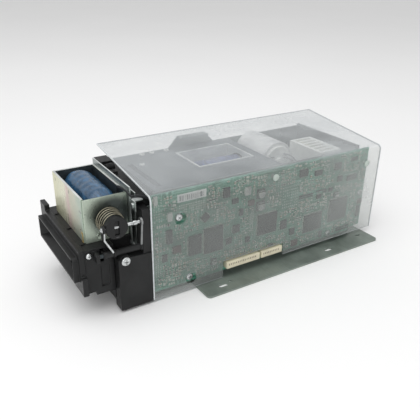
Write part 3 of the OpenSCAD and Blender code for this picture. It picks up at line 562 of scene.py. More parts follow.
def add_turned(bm, profile, start, direction, steps=32, material=0):
    """A turned shape: (distance, radius) points spun round an axis; it may start and end at radius 0."""
    part = bmesh.new()
    points = [part.verts.new((radius, 0, along)) for along, radius in profile]
    edges = [part.edges.new(pair) for pair in zip(points, points[1:])]
    bmesh.ops.spin(part, geom=points + edges, cent=(0, 0, 0), axis=(0, 0, 1), angle=2 * math.pi,
                   steps=steps, use_merge=True)
    bmesh.ops.remove_doubles(part, verts=part.verts, dist=MERGE)
    bmesh.ops.holes_fill(part, edges=[e for e in part.edges if e.is_boundary])
    bmesh.ops.recalc_face_normals(part, faces=part.faces)
    stamp(bm, part, aim(start, direction), material)
    part.free()


def stamp(bm, part, place, material=None):
    """Adds a copy of a small part at its place, in its own finishes or in one."""
    mesh = bpy.data.meshes.new("stamp")
    part.to_mesh(mesh)
    mesh.transform(place)
    if material is not None:
        mesh.polygons.foreach_set("material_index", [material] * len(mesh.polygons))
    bm.from_mesh(mesh)
    bpy.data.meshes.remove(mesh)


def round_edges(bm, width, segments=2, shortest=1.2 * MM, sharper=30.0):
    """Rounds the sharp edges that are longer than shortest."""
    edges = [e for e in bm.edges if e.is_manifold and e.calc_length() > shortest
             and e.calc_face_angle(0) > math.radians(sharper)]
    if edges:
        bmesh.ops.bevel(bm, geom=edges, offset=width, offset_type="OFFSET", segments=segments,
                        profile=0.5, affect="EDGES", clamp_overlap=False, material=-1)


def node_copy(node, edge=0.0, segments=2, shortest=1.2 * MM):
    """A merged copy of a frame part, with its long sharp edges rounded."""
    bm = bmesh.new()
    bm.from_mesh(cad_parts[node].data)
    bmesh.ops.remove_doubles(bm, verts=bm.verts, dist=MERGE)
    bmesh.ops.dissolve_limit(bm, angle_limit=math.radians(1.0), verts=bm.verts, edges=bm.edges)
    if edge:
        round_edges(bm, edge, segments, shortest)
    for face in bm.faces:
        face.material_index = 0
    return bm


def loose_boxes(node):
    """The corners of each separate solid of a frame part, ordered along the reader."""
    bm = node_copy(node)
    left, found = set(bm.verts), []
    while left:
        reached, edge = set(), [next(iter(left))]
        while edge:
            vert = edge.pop()
            if vert in reached:
                continue
            reached.add(vert)
            edge.extend(e.other_vert(vert) for e in vert.link_edges)
        left -= reached
        low = Vector([min(v.co[i] for v in reached) for i in range(3)])
        high = Vector([max(v.co[i] for v in reached) for i in range(3)])
        found.append((low, high))
    bm.free()
    return sorted(found, key=lambda corners: tuple(round(c, 5) for c in corners[0].yzx))


def make_piece(name, bm, looks, body="chassis", replaces=(), crease=32.0):
    """Turns a bmesh into a finished piece that rides on a body."""
    mesh = bpy.data.meshes.new(name)
    bm.to_mesh(mesh)
    bm.free()
    for surface in looks:
        mesh.materials.append(look(surface))
    mesh.shade_smooth()
    mesh.set_sharp_from_angle(angle=math.radians(crease))
    piece = bpy.data.objects.new(name, mesh)
    bpy.context.scene.collection.objects.link(piece)
    evened = piece.modifiers.new("even normals", "WEIGHTED_NORMAL")
    evened.keep_sharp = True
    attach(piece, body)
    if replaces:
        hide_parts(*replaces)
    return piece


def curve_tube(name, spine, radius, sides=4, cyclic=False):
    """A round tube along points, as a bmesh."""
    curve = bpy.data.curves.new(name, "CURVE")
    curve.dimensions = "3D"
    curve.bevel_depth = radius
    curve.bevel_resolution = sides
    curve.use_fill_caps = not cyclic
    spline = curve.splines.new("POLY")
    spline.points.add(len(spine) - 1)
    for point, place in zip(spline.points, spine):
        point.co = (*place, 1)
    spline.use_cyclic_u = cyclic
    holder = bpy.data.objects.new(name, curve)
    mesh = bpy.data.meshes.new_from_object(holder)
    bm = bmesh.new()
    bm.from_mesh(mesh)
    bmesh.ops.remove_doubles(bm, verts=bm.verts, dist=1e-7)
    bmesh.ops.recalc_face_normals(bm, faces=bm.faces)
    bpy.data.objects.remove(holder)
    bpy.data.curves.remove(curve)
    bpy.data.meshes.remove(mesh)
    return bm


def smooth_path(points, steps=8):
    """Points along a curve that passes smoothly through the given ones."""
    path = []
    for i in range(len(points) - 1):
        p0 = points[max(i - 1, 0)]
        p1, p2 = points[i], points[i + 1]
        p3 = points[min(i + 2, len(points) - 1)]
        for k in range(steps):
            t = k / steps
            path.append(0.5 * ((2 * p1) + (p2 - p0) * t + (2 * p0 - 5 * p1 + 4 * p2 - p3) * t * t
                               + (3 * p1 - p0 - 3 * p2 + p3) * t ** 3))
    return path + [points[-1]]


def keep_node(node, finish):
    """Gives a frame part that keeps its own shape a finish."""
    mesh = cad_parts[node].data
    mesh.materials.clear()
    mesh.materials.append(look(finish))


# ---------------------------------------------------------------- pieces

def finish_node(node, bm, looks, body="chassis"):
    """A finished piece that takes the place of one frame part."""
    return make_piece(node + "_finished", bm, looks, body, (node,))


def soften(node, finish, edge, body="chassis", segments=2):
    """A frame part with rounded edges and a finish."""
    return finish_node(node, node_copy(node, edge, segments), [finish], body)


class CARDREADER_OT_mouldings(bpy.types.Operator):
    """Make the black mouldings: mouth, housing, front block, cross member, guides, rear wall"""
    bl_idname = "card_reader.mouldings"
    bl_label = "Black mouldings"

    def execute(self, context):
        edge = sizes().moulding_edge
        soften("bezel", "moulding", edge * 1.35, segments=3)
        soften("front_block", "moulding", edge)
        soften("front_cross_member", "moulding", edge)
        soften("rear_wall", "moulding", edge * 0.8)
        soften("lower_guide", "inner moulding", edge * 0.5)
        soften("upper_guide", "inner moulding", edge * 0.5)
        self.housing(edge)
        return {"FINISHED"}

    def housing(self, edge):
        """The housing behind the mouth, with ribs on its roof."""
        low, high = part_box("shutter_housing")
        frame_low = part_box("solenoid_frame")[0]
        bm = node_copy("shutter_housing", edge)
        roof = frame_low.z
        for along in (0.18, 0.5, 0.82):
            x = low.x + (high.x - low.x) * along
            add_block(bm, Vector((x - 0.6 * MM, low.y + 1.2 * MM, roof - 0.3 * MM)),
                      Vector((x + 0.6 * MM, frame_low.y - 0.4 * MM, roof + 0.7 * MM)))
        finish_node("shutter_housing", bm, ["moulding"])


class CARDREADER_OT_sheets(bpy.types.Operator):
    """Make the metal sheets: base plate, side plates, top plate, bulkheads and bracket"""
    bl_idname = "card_reader.sheets"
    bl_label = "Metal sheets"

    def execute(self, context):
        edge = sizes().sheet_edge
        soften("base_plate", "base", edge * 1.4)
        for node in ("near_side_plate", "far_side_plate"):
            soften(node, "sheet", edge)
        for node in ("front_bulkhead", "bulkhead_backplate", "corner_bracket"):
            self.with_painted_top_highlight(node, edge)
        soften("top_plate", "top sheet", edge)
        return {"FINISHED"}

    def with_painted_top_highlight(self, node, edge):
        """A sheet whose upward faces are painted bright: a painted highlight along its upper cut edge."""
        bm = node_copy(node, edge)
        for face in bm.faces:
            # upward faces take the bright edge finish: painted highlight
            face.material_index = 1 if face.normal.z > 0.6 else 0
        finish_node(node, bm, ["sheet", "bright edge"])


class CARDREADER_OT_solenoid(bpy.types.Operator):
    """Make the front solenoid: bent plated frame, end plate, bobbin and taped winding"""
    bl_idname = "card_reader.solenoid"
    bl_label = "Front solenoid"

    def execute(self, context):
        edge = sizes().sheet_edge * 1.6
        self.plated_frame(edge)
        self.end_plate(edge)
        soften("solenoid_bobbin", "gloss moulding", 0.25 * MM)
        self.winding()
        return {"FINISHED"}

    def plated_frame(self, edge):
        """The bent frame, with its punched ticks and the amber tape tab at its foot; its inner faces are
        painted dark as shade, its top faces painted bright as highlight, and its ticks are dull strips
        painted as the shade in punched slots.
        """
        low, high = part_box("solenoid_frame")
        bm = node_copy("solenoid_frame", edge)
        middle = (low + high) / 2
        # inner faces take the dark plate: painted shade inside the bent frame
        for face in bm.faces:
            inward = (middle - face.calc_center_median()).normalized()
            if face.normal.dot(inward) > 0.45 and abs(face.normal.z) < 0.9:
                face.material_index = 3
            # faces at the very top take the bright edge finish: painted highlight
            elif face.normal.z > 0.6 and face.calc_center_median().z > high.z - 0.5 * MM:
                face.material_index = 4
        # painted shade: the ticks are thin dull strips standing in for the shade inside punched slots
        proud = 0.06 * MM
        for along, up, tall in ((0.10, 0.83, 2.2), (0.60, 0.86, 2.4), (0.67, 0.06, 1.6)):
            x = low.x + (high.x - low.x) * along
            z = low.z + (high.z - low.z) * up
            add_block(bm, Vector((x, low.y - proud, z)),
                      Vector((x + 0.55 * MM, low.y + proud, z + tall * MM)), 1)
        # relief cut at the bend, beside the end plate: a dull strip painted as the shade in the cut
        bend = Vector((high.x - 4.6 * MM, low.y, high.z - 9.2 * MM))
        add_block(bm, bend + mm(0, -0.06, 0), bend + mm(4.4, 0.06, 0.5), 1)
        tab = Vector((high.x - 3.4 * MM, low.y, low.z + 0.2 * MM))
        add_block(bm, tab + mm(0, -0.25, 0), tab + mm(2.6, 0.1, 6.4), 2)
        add_block(bm, tab + mm(0.5, -0.42, 0.9), tab + mm(1.3, 0.1, 5.2), 0)
        looks = ["frame plate", "dull steel", "amber tape", "dark plate", "bright edge"]
        finish_node("solenoid_frame", bm, looks)

    def end_plate(self, edge):
        """The end plate, with its clenched tabs and a pressed rivet below the spring."""
        low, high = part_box("solenoid_end_plate")
        axis = extent("plunger")[2]
        bm = node_copy("solenoid_end_plate", edge)
        face = high.x
        rivet = Vector((face, low.y + 9.0 * MM, low.z + 3.4 * MM))
        add_turned(bm, ((-0.3 * MM, 2.2 * MM), (0.25 * MM, 2.2 * MM), (0.45 * MM, 1.9 * MM),
                        (0.18 * MM, 1.4 * MM), (0.12 * MM, 0.0)), rivet, X, 28)
        for y in (low.y + 4.0 * MM, high.y - 8.0 * MM):
            add_block(bm, Vector((face - 0.4 * MM, y, high.z - 1.5 * MM)),
                      Vector((face + 0.28 * MM, y + 4.2 * MM, high.z)))
        # flanged guide bush of the plunger
        bush = on_axis(face, axis)
        add_turned(bm, ((-0.4 * MM, 5.35 * MM), (-0.4 * MM, 7.2 * MM), (0.35 * MM, 7.2 * MM),
                        (0.5 * MM, 7.0 * MM), (0.5 * MM, 5.4 * MM), (-0.4 * MM, 5.35 * MM)),
                   bush, X, 40, 1)
        finish_node("solenoid_end_plate", bm, ["end plate", "inner moulding"])

    def winding(self):
        """The winding: lumpy laps of tape, rounded off at its ends and piled higher on top."""
        low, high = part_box("solenoid_coil")
        bore, side, top = 6.45 * MM, 12.4 * MM, high.z - axis_z() + 2.3 * MM
        span = high.x - low.x
        stations, around = 44, 72
        bm = bmesh.new()
        rings = []
        for i in range(stations + 1):
            along = i / stations
            shoulder = min(along, 1 - along) * 5.0
            swell = 1.0 - 0.17 * max(0.0, 1 - shoulder) ** 2.2
            ring = []
            for k in range(around):
                a = 2 * math.pi * k / around
                up = max(0.0, math.sin(a)) ** 2
                reach = (side + (top - side) * up) * swell
                overhang = 1.4 * MM * up * (1 - along)
                spot = Vector((low.x + span * along - overhang, reach * math.cos(a), reach * math.sin(a)))
                lump = noise.noise(spot * 260.0) * 0.20 * MM + noise.noise(spot * 800.0) * 0.12 * MM
                lap = 0.10 * MM * math.sin(along * 46.0 + math.sin(a * 2) * 1.5)
                reach = max(bore + 1 * MM, reach + lump + lap - 0.3 * MM)
                if math.sin(a) < 0.3:
                    reach = min(reach, 11.55 * MM)
                ring.append(bm.verts.new((spot.x, axis_y() + reach * math.cos(a),
                                          axis_z() + reach * math.sin(a))))
            rings.append(ring)
        for x in (high.x, low.x):
            rings.append([bm.verts.new((x, axis_y() + bore * math.cos(2 * math.pi * k / around),
                                        axis_z() + bore * math.sin(2 * math.pi * k / around)))
                          for k in range(around)])
        for here, there in zip(rings, rings[1:] + rings[:1]):
            for k in range(around):
                after = (k + 1) % around
                bm.faces.new((here[k], there[k], there[after], here[after]))
        bmesh.ops.recalc_face_normals(bm, faces=bm.faces)
        make_piece("solenoid_winding", bm, ["tape"], replaces=("solenoid_coil",), crease=50.0)


class CARDREADER_OT_plunger(bpy.types.Operator):
    """Make the plunger with its cap and cross pin, and the spring round it"""
    bl_idname = "card_reader.plunger"
    bl_label = "Plunger and spring"

    def execute(self, context):
        self.shaft()
        self.cap()
        self.pin()
        self.spring()
        return {"FINISHED"}

    def shaft(self):
        """The plunger: dark plate along its length, blacked at the end inside the cap."""
        bm = node_copy("plunger", 0.2 * MM)
        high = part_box("plunger")[1]
        for face in bm.faces:
            face.material_index = 1 if face.calc_center_median().x > high.x - 0.6 * MM else 0
        make_piece("plunger_shaft", bm, ["dark plate", "moulding"], "plunger", ("plunger",))

    def cap(self):
        """The round cap, with a raised rim mark below its slot."""
        low, high, middle = extent("plunger_cap")
        bm = node_copy("plunger_cap", 0.3 * MM, 2, 0.5 * MM)
        add_block(bm, Vector((high.x - 0.1 * MM, middle.y - 0.9 * MM, low.z + 1.0 * MM)),
                  Vector((high.x + 0.05 * MM, middle.y + 0.9 * MM, low.z + 1.5 * MM)), 1)
        finish_node("plunger_cap", bm, ["moulding", "dimple"], "plunger")

    def pin(self):
        """The cross pin with rounded ends, a retaining clip and a sleeve at the rear arm."""
        low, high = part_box("cross_pin")
        z = (low.z + high.z) / 2
        x = (low.x + high.x) / 2
        radius = 1.1 * MM
        reach = high.y - low.y
        round_off = 0.35 * MM
        bm = bmesh.new()
        add_turned(bm, ((0, 0), (0, radius - round_off), (round_off, radius),
                        (reach - round_off, radius), (reach, radius - round_off), (reach, 0)),
                   Vector((x, low.y, z)), Y, 24)
        # sleeve beside the rear arm
        add_turned(bm, ((0, 0.9 * MM), (0, 1.5 * MM), (0.5 * MM, 1.6 * MM), (1.9 * MM, 1.6 * MM),
                        (2.4 * MM, 1.5 * MM), (2.4 * MM, 0.9 * MM), (0, 0.9 * MM)),
                   Vector((x, -110 * MM, z)), Y, 24)
        # open retaining clip near the front arm
        clip = curve_tube("clip", [Vector((x, low.y + 0.9 * MM, z)) + Vector((
            1.4 * MM * math.cos(a), 0, 1.4 * MM * math.sin(a)))
            for a in [math.radians(d) for d in range(-60, 241, 20)]], 0.28 * MM, 3)
        stamp(bm, clip, Matrix.Identity(4), 0)
        clip.free()
        finish_node("cross_pin", bm, ["bright steel"], "plunger")

    def spring(self):
        """The spring: a tapered coil round the plunger."""
        low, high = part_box("plunger_spring")
        s = sizes()
        wire, radius, turns = s.spring_wire, s.spring_radius, s.spring_turns
        steps = int(turns * 28)
        start, end = low.x + wire, high.x - wire
        spine = []
        for i in range(steps + 1):
            a = 2 * math.pi * turns * i / steps
            r = radius + (s.spring_end - radius) * i / steps
            spine.append(Vector((start + (end - start) * i / steps,
                                 axis_y() + r * math.cos(a), axis_z() + r * math.sin(a))))
        bm = curve_tube("spring", spine, wire, 3)
        piece = finish_node("plunger_spring", bm, ["spring wire"])
        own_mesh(piece)


def axis_y():
    low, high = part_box("plunger")
    return (low.y + high.y) / 2


def axis_z():
    low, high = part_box("plunger")
    return (low.z + high.z) / 2


class CARDREADER_OT_linkage(bpy.types.Operator):
    """Make the shutter lever and the shutter blade"""
    bl_idname = "card_reader.linkage"
    bl_label = "Shutter linkage"

    def execute(self, context):
        bm = node_copy("shutter_lever", 0.16 * MM, 2, 0.8 * MM)
        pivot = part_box("lever_pivot_pin")[0].z + 5.5 * MM
        knee = axis_z() - 4.5 * MM
        # painted in zones: the lower front arm is bright steel as a painted glint, the part above the knee
        # black as a painted dark reflection, the rear arm dull steel as painted shade; faces below the pivot
        # are black too
        for face in bm.faces:
            middle = face.calc_center_median()
            rear = middle.y > axis_y()
            face.material_index = 2 if rear else 0 if middle.z < knee else 1
            if middle.z < pivot:
                face.material_index = 1
        looks = ["bright steel", "inner moulding", "dull steel"]
        finish_node("shutter_lever", bm, looks, "shutter_lever")
        soften("shutter_blade", "inner moulding", 0.15 * MM, "shutter_blade")
        return {"FINISHED"}


class CARDREADER_OT_screws(bpy.types.Operator):
    """Make the cross-head screws, with the washer in the front block"""
    bl_idname = "card_reader.screws"
    bl_label = "Screws"

    def execute(self, context):
        bm = bmesh.new()
        # the white head pattern takes the nylon finish: on the screws on top it is a painted highlight for
        # the glint on their steel heads
        plain, white = self.pattern(0), self.pattern(2)
        for low, high in loose_boxes("pan_head_screws"):
            # screws on top get the white head: painted highlight
            on_top = high.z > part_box("top_plate")[1].z + 1 * MM
            self.place(bm, white if on_top else plain, low, high)
        plain.free()
        white.free()
        finish_node("pan_head_screws", bm, ["bright steel", "dull steel", "nylon"])
        for low, high in loose_boxes("board_standoffs"):
            self.standoff(low, high)
        return {"FINISHED"}

    def pattern(self, finish):
        """A screw head of unit radius: domed top with a cross-shaped recess."""
        head = bmesh.new()
        add_turned(head, ((0.0, 0.0), (0.0, 1.0), (0.34, 1.0), (0.5, 0.88), (0.62, 0.62), (0.66, 0.0)),
                   Vector((0, 0, 0)), Z, 28, finish)
        for quarter in (0, 1):
            turn = Matrix.Rotation(math.radians(90 * quarter + 20), 4, "Z")
            blade = bmesh.new()
            add_block(blade, Vector((-0.52, -0.12, 0.6)), Vector((0.52, 0.12, 0.675)), 1)
            stamp(head, blade, turn)
            blade.free()
        return head

    def place(self, bm, pattern, low, high):
        """One screw, lying along its longest way, with its head on the outer side."""
        size = high - low
        axis = max(range(3), key=lambda i: size[i])
        if low.z < 16 * MM and size.z > 5 * MM and abs(size.x - size.y) < 0.2 * MM:
            axis = 2
        direction = Vector([1.0 if i == axis else 0.0 for i in range(3)])
        radius = min(size[i] for i in range(3) if i != axis) / 2
        middle = (low + high) / 2
        inward = low[axis] < 0 and axis == 0 or axis == 2 and low.z < 30 * MM
        washer = 0.5 * MM if radius > WASHER_FROM else 0.0
        head = radius - (0.7 * MM if washer else 0.0)
        tall = (1.8 if head > 2.6 * MM else 1.5) * MM
        top = low[axis] if inward else high[axis]
        if inward:
            direction = -direction
        base = middle.copy()
        base[axis] = top
        base -= direction * tall
        turn = Matrix.Rotation(middle.y * 300.0, 4, "Z")
        stamp(bm, pattern, aim(base, direction) @ turn @ Matrix.Diagonal((head, head, tall / 0.68, 1)))
        depth = size[axis] - tall
        add_rod(bm, base, base - direction * depth, 1.38 * MM, 16, material=1)
        if washer:
            add_turned(bm, ((0, 1.4 * MM), (0, radius), (washer * 0.7, radius), (washer, radius - 0.15 * MM),
                            (washer, 1.4 * MM), (0, 1.4 * MM)), base - direction * washer, direction, 32, 0)

    def standoff(self, low, high):
        middle = (low + high) / 2
        bm = bmesh.new()
        radius = (high.z - low.z) / 2
        reach = high.x - low.x
        outline = ring(0, reach, 1.45 * MM, radius, 0.3 * MM)
        add_turned(bm, outline, on_axis(low.x, middle), X, 6)
        make_piece("standoff_%d" % round(middle.y / MM), bm, ["brass"])


# ---------------------------------------------------------------- circuit board

# label on the board: along the reader and up, in millimetres
LABEL = (-78.2, -56.8, 65.8, 71.4)
# leaded chips: front end, foot, length, height, body height, which sides have leads, turn
SMALL_CHIPS = (
    (-60.9, 47.9, 6.4, 6.4, 1.2, "yz", 40), (-87.4, 38.6, 5.2, 10.6, 1.6, "y", 0),
    (-36.0, 32.8, 6.6, 6.8, 1.3, "y", 0), (-41.2, 25.4, 5.6, 5.6, 1.2, "z", 0),
    (-44.6, 61.3, 6.2, 8.2, 1.5, "y", 0), (-37.2, 55.2, 6.0, 4.6, 1.3, "z", 0),
    (21.4, 62.8, 8.6, 6.6, 1.5, "z", 0), (36.2, 60.9, 8.0, 5.0, 1.4, "z", 0),
    (55.8, 62.0, 7.6, 6.4, 1.5, "y", 0), (70.4, 50.2, 11.0, 5.4, 1.5, "z", 0),
    (60.4, 51.6, 5.6, 5.6, 1.3, "z", 0), (52.4, 45.0, 4.6, 4.2, 1.2, "z", 0),
    (6.6, 24.6, 6.8, 7.8, 1.3, "y", 0), (16.2, 17.2, 5.6, 6.4, 1.3, "z", 0),
    (-90.6, 26.0, 4.6, 6.4, 1.2, "y", 0), (40.2, 41.6, 5.4, 4.4, 1.3, "z", 0),
    (85.6, 16.0, 4.4, 10.4, 1.5, "y", 0), (-24.6, 22.4, 4.6, 5.2, 1.2, "z", 0),
)
# round capacitors on the board: along, up, radius
ROUND_CAPS = ((-12.4, 58.2, 3.4), (-12.2, 48.8, 3.6), (61.6, 41.4, 2.4), (-50.4, 15.2, 2.4))
# plain moulded parts: front end, foot, length, height, thickness, finish
BLOCK_PARTS = (
    (-83.0, 31.0, 6.8, 5.0, 1.9, "brown part"), (-23.6, 51.2, 5.6, 4.2, 1.8, "brown part"),
    (18.6, 7.4, 6.6, 5.4, 1.8, "brown part"), (-26.8, 59.4, 5.8, 6.6, 1.2, "silver can"),
    (-95.6, 68.0, 3.4, 6.0, 1.6, "silver can"), (-73.6, 47.2, 3.0, 2.0, 1.2, "silver can"),
    (72.6, 66.4, 7.2, 3.4, 1.4, "chip"), (46.8, 7.8, 3.4, 5.8, 1.6, "resistor"),
    (85.6, 27.6, 5.2, 4.6, 1.6, "brown part"), (-86.2, 54.6, 4.2, 6.6, 1.2, "silver can"),
    (-3.4, 12.8, 4.6, 3.0, 1.4, "chip"), (-30.6, 45.4, 3.6, 5.2, 1.4, "resistor"),
)
# rows of pins or open pads: along, up, count, pitch, rows, row pitch, finish
PIN_ROWS = (
    (-76.6, 58.6, 16, 1.25, 4, 1.6, "pad"), (-94.4, 56.0, 4, 1.6, 9, 1.8, "pad"),
    (8.4, 42.0, 8, 1.9, 8, 2.2, "pad"), (24.0, 46.0, 9, 1.5, 2, 1.7, "resistor"),
    (40.6, 46.6, 7, 1.5, 2, 1.7, "resistor"), (-94.4, 16.8, 3, 1.6, 9, 1.6, "pad"),
    (66.4, 8.6, 9, 1.6, 2, 2.0, "chip"), (3.4, 60.0, 1, 1.0, 9, 1.5, "pad"),
    (-20.4, 31.0, 3, 1.2, 12, 1.3, "pad"), (46.4, 63.2, 5, 1.3, 4, 1.5, "pad"),
)


def label_corners():
    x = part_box("main_board")[1].x
    front, rear, low, high = LABEL
    return Vector((x, front * MM, low * MM)), Vector((x, rear * MM, high * MM))


def board_face():
    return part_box("main_board")[1].x


def on_board(along, up, out=0.0):
    return Vector((board_face() + out * MM, along * MM, up * MM))


def kept_clear():
    """Places on the board that small parts keep out of: along low, along high, up low, up high."""
    areas = [(LABEL[0] - 1, LABEL[1] + 1, LABEL[2] - 1, LABEL[3] + 1)]
    for node, margin in (("large_chips", 2.2), ("edge_connectors", 1.2), ("pan_head_screws", 1.6),
                         ("cover_rivets", 1.2)):
        for low, high in loose_boxes(node):
            if high.x > board_face():
                areas.append((low.y / MM - margin, high.y / MM + margin,
                              low.z / MM - margin, high.z / MM + margin))
    for front, foot, long, tall, _, _, _ in SMALL_CHIPS:
        areas.append((front - 1.6, front + long + 1.6, foot - 1.6, foot + tall + 1.6))
    for front, foot, long, tall, _, _ in BLOCK_PARTS:
        areas.append((front - 0.8, front + long + 0.8, foot - 0.8, foot + tall + 0.8))
    for along, up, radius in ROUND_CAPS:
        areas.append((along - radius - 1, along + radius + 1, up - radius - 1, up + radius + 1))
    return areas


def is_clear(areas, along, up, half_long, half_tall):
    return not any(a - half_long < along < b + half_long and c - half_tall < up < d + half_tall
                   for a, b, c, d in areas)


def add_chip(bm, front, foot, long, tall, thick, sides, turn=0, pitch=1.27 * MM):
    """A moulded chip with bent leads: material 0 is the body, 1 the leads, 2 the mark."""
    pitch /= MM
    part = bmesh.new()
    middle = on_board(front + long / 2, foot + tall / 2)
    half_long, half_tall = long / 2 - 0.5, tall / 2 - 0.5
    body = bmesh.new()
    add_block(body, mm(0.12, -half_long, -half_tall), mm(thick, half_long, half_tall))
    round_edges(body, 0.14 * MM, 1, 0.5 * MM)
    stamp(part, body, Matrix.Identity(4), 0)
    body.free()
    add_rod(part, mm(thick - 0.02, -half_long + 0.9, half_tall - 0.9),
            mm(thick + 0.03, -half_long + 0.9, half_tall - 0.9), 0.42 * MM, 10, material=2)
    width = min(0.36, pitch * 0.5)
    for axis, span, edge in (("y", tall, half_long), ("z", long, half_tall)):
        if axis not in sides:
            continue
        count = max(2, int((span - 1.4) / pitch))
        for i in range(count):
            place = (i - (count - 1) / 2) * pitch
            for side in (-1, 1):
                shoulder = sorted((side * (edge - 0.05), side * (edge + 0.35)))
                toe = sorted((side * (edge + 0.25), side * (edge + 0.95)))
                for reach, low, high in ((shoulder, 0.1, thick * 0.6), (toe, 0.01, 0.2)):
                    if axis == "y":
                        add_block(part, mm(low, reach[0], place - width / 2),
                                  mm(high, reach[1], place + width / 2), 1)
                    else:
                        add_block(part, mm(low, place - width / 2, reach[0]),
                                  mm(high, place + width / 2, reach[1]), 1)
    stamp(bm, part, Matrix.Translation(middle) @ Matrix.Rotation(math.radians(turn), 4, "X"))
    part.free()


class CARDREADER_OT_board(bpy.types.Operator):
    """Make the circuit board with its tracks and label"""
    bl_idname = "card_reader.board"
    bl_label = "Circuit board"

    def execute(self, context):
        make_piece("circuit_board", node_copy("main_board", 0.1 * MM), ["board"],
                   replaces=("main_board",))
        self.tracks()
        self.label()
        return {"FINISHED"}

    def tracks(self):
        """Bundles of raised tracks, most with a bend."""
        chance = random.Random(TRACK_SEED)
        low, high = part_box("main_board")
        bm = bmesh.new()
        for _ in range(TRACK_BUNDLES):
            along = chance.uniform(low.y / MM + 4, high.y / MM - 22)
            up = chance.uniform(low.z / MM + 5, high.z / MM - 9)
            run, rise = chance.uniform(4, 13), chance.choice((-1, 1)) * chance.uniform(1.5, 5)
            for i in range(chance.choice((2, 3, 4, 5))):
                step = i * 0.62
                start = on_board(along, up + step)
                bend = on_board(along + run + step * chance.choice((0, 0.4)), up + step)
                add_block(bm, start + mm(-0.02, 0, -0.12), bend + mm(0.04, 0, 0.12))
                if low.z + 4 * MM < bend.z + rise * MM < high.z - 3 * MM:
                    end = bend + mm(0, 0, rise)
                    corners = sorted((bend.z, end.z))
                    add_block(bm, Vector((bend.x - 0.02 * MM, bend.y - 0.12 * MM, corners[0])),
                              Vector((bend.x + 0.04 * MM, bend.y + 0.12 * MM, corners[1])))
        make_piece("board_tracks", bm, ["track"])

    def label(self):
        low, high = label_corners()
        bm = bmesh.new()
        add_block(bm, low, high + mm(0.12, 0, 0))
        round_edges(bm, 0.05 * MM, 1)
        make_piece("board_label", bm, ["label"])


class CARDREADER_OT_chips(bpy.types.Operator):
    """Make the chips with their bent leads"""
    bl_idname = "card_reader.chips"
    bl_label = "Chips"

    def execute(self, context):
        bm = bmesh.new()
        pitch = sizes().pin_pitch
        for low, high in loose_boxes("large_chips"):
            long, tall = (high.y - low.y) / MM, (high.z - low.z) / MM
            sides = "y" if long < 0.75 * tall else "yz"
            add_chip(bm, low.y / MM - 0.5, low.z / MM - 0.5, long + 1, tall + 1, 1.4, sides, 0, pitch)
        finish_node("large_chips", bm, ["chip", "pad", "dimple"])
        bm = bmesh.new()
        for front, foot, long, tall, thick, sides, turn in SMALL_CHIPS:
            add_chip(bm, front, foot, long, tall, thick, sides, turn)
        make_piece("small_chips", bm, ["chip", "pad", "dimple"])
        return {"FINISHED"}


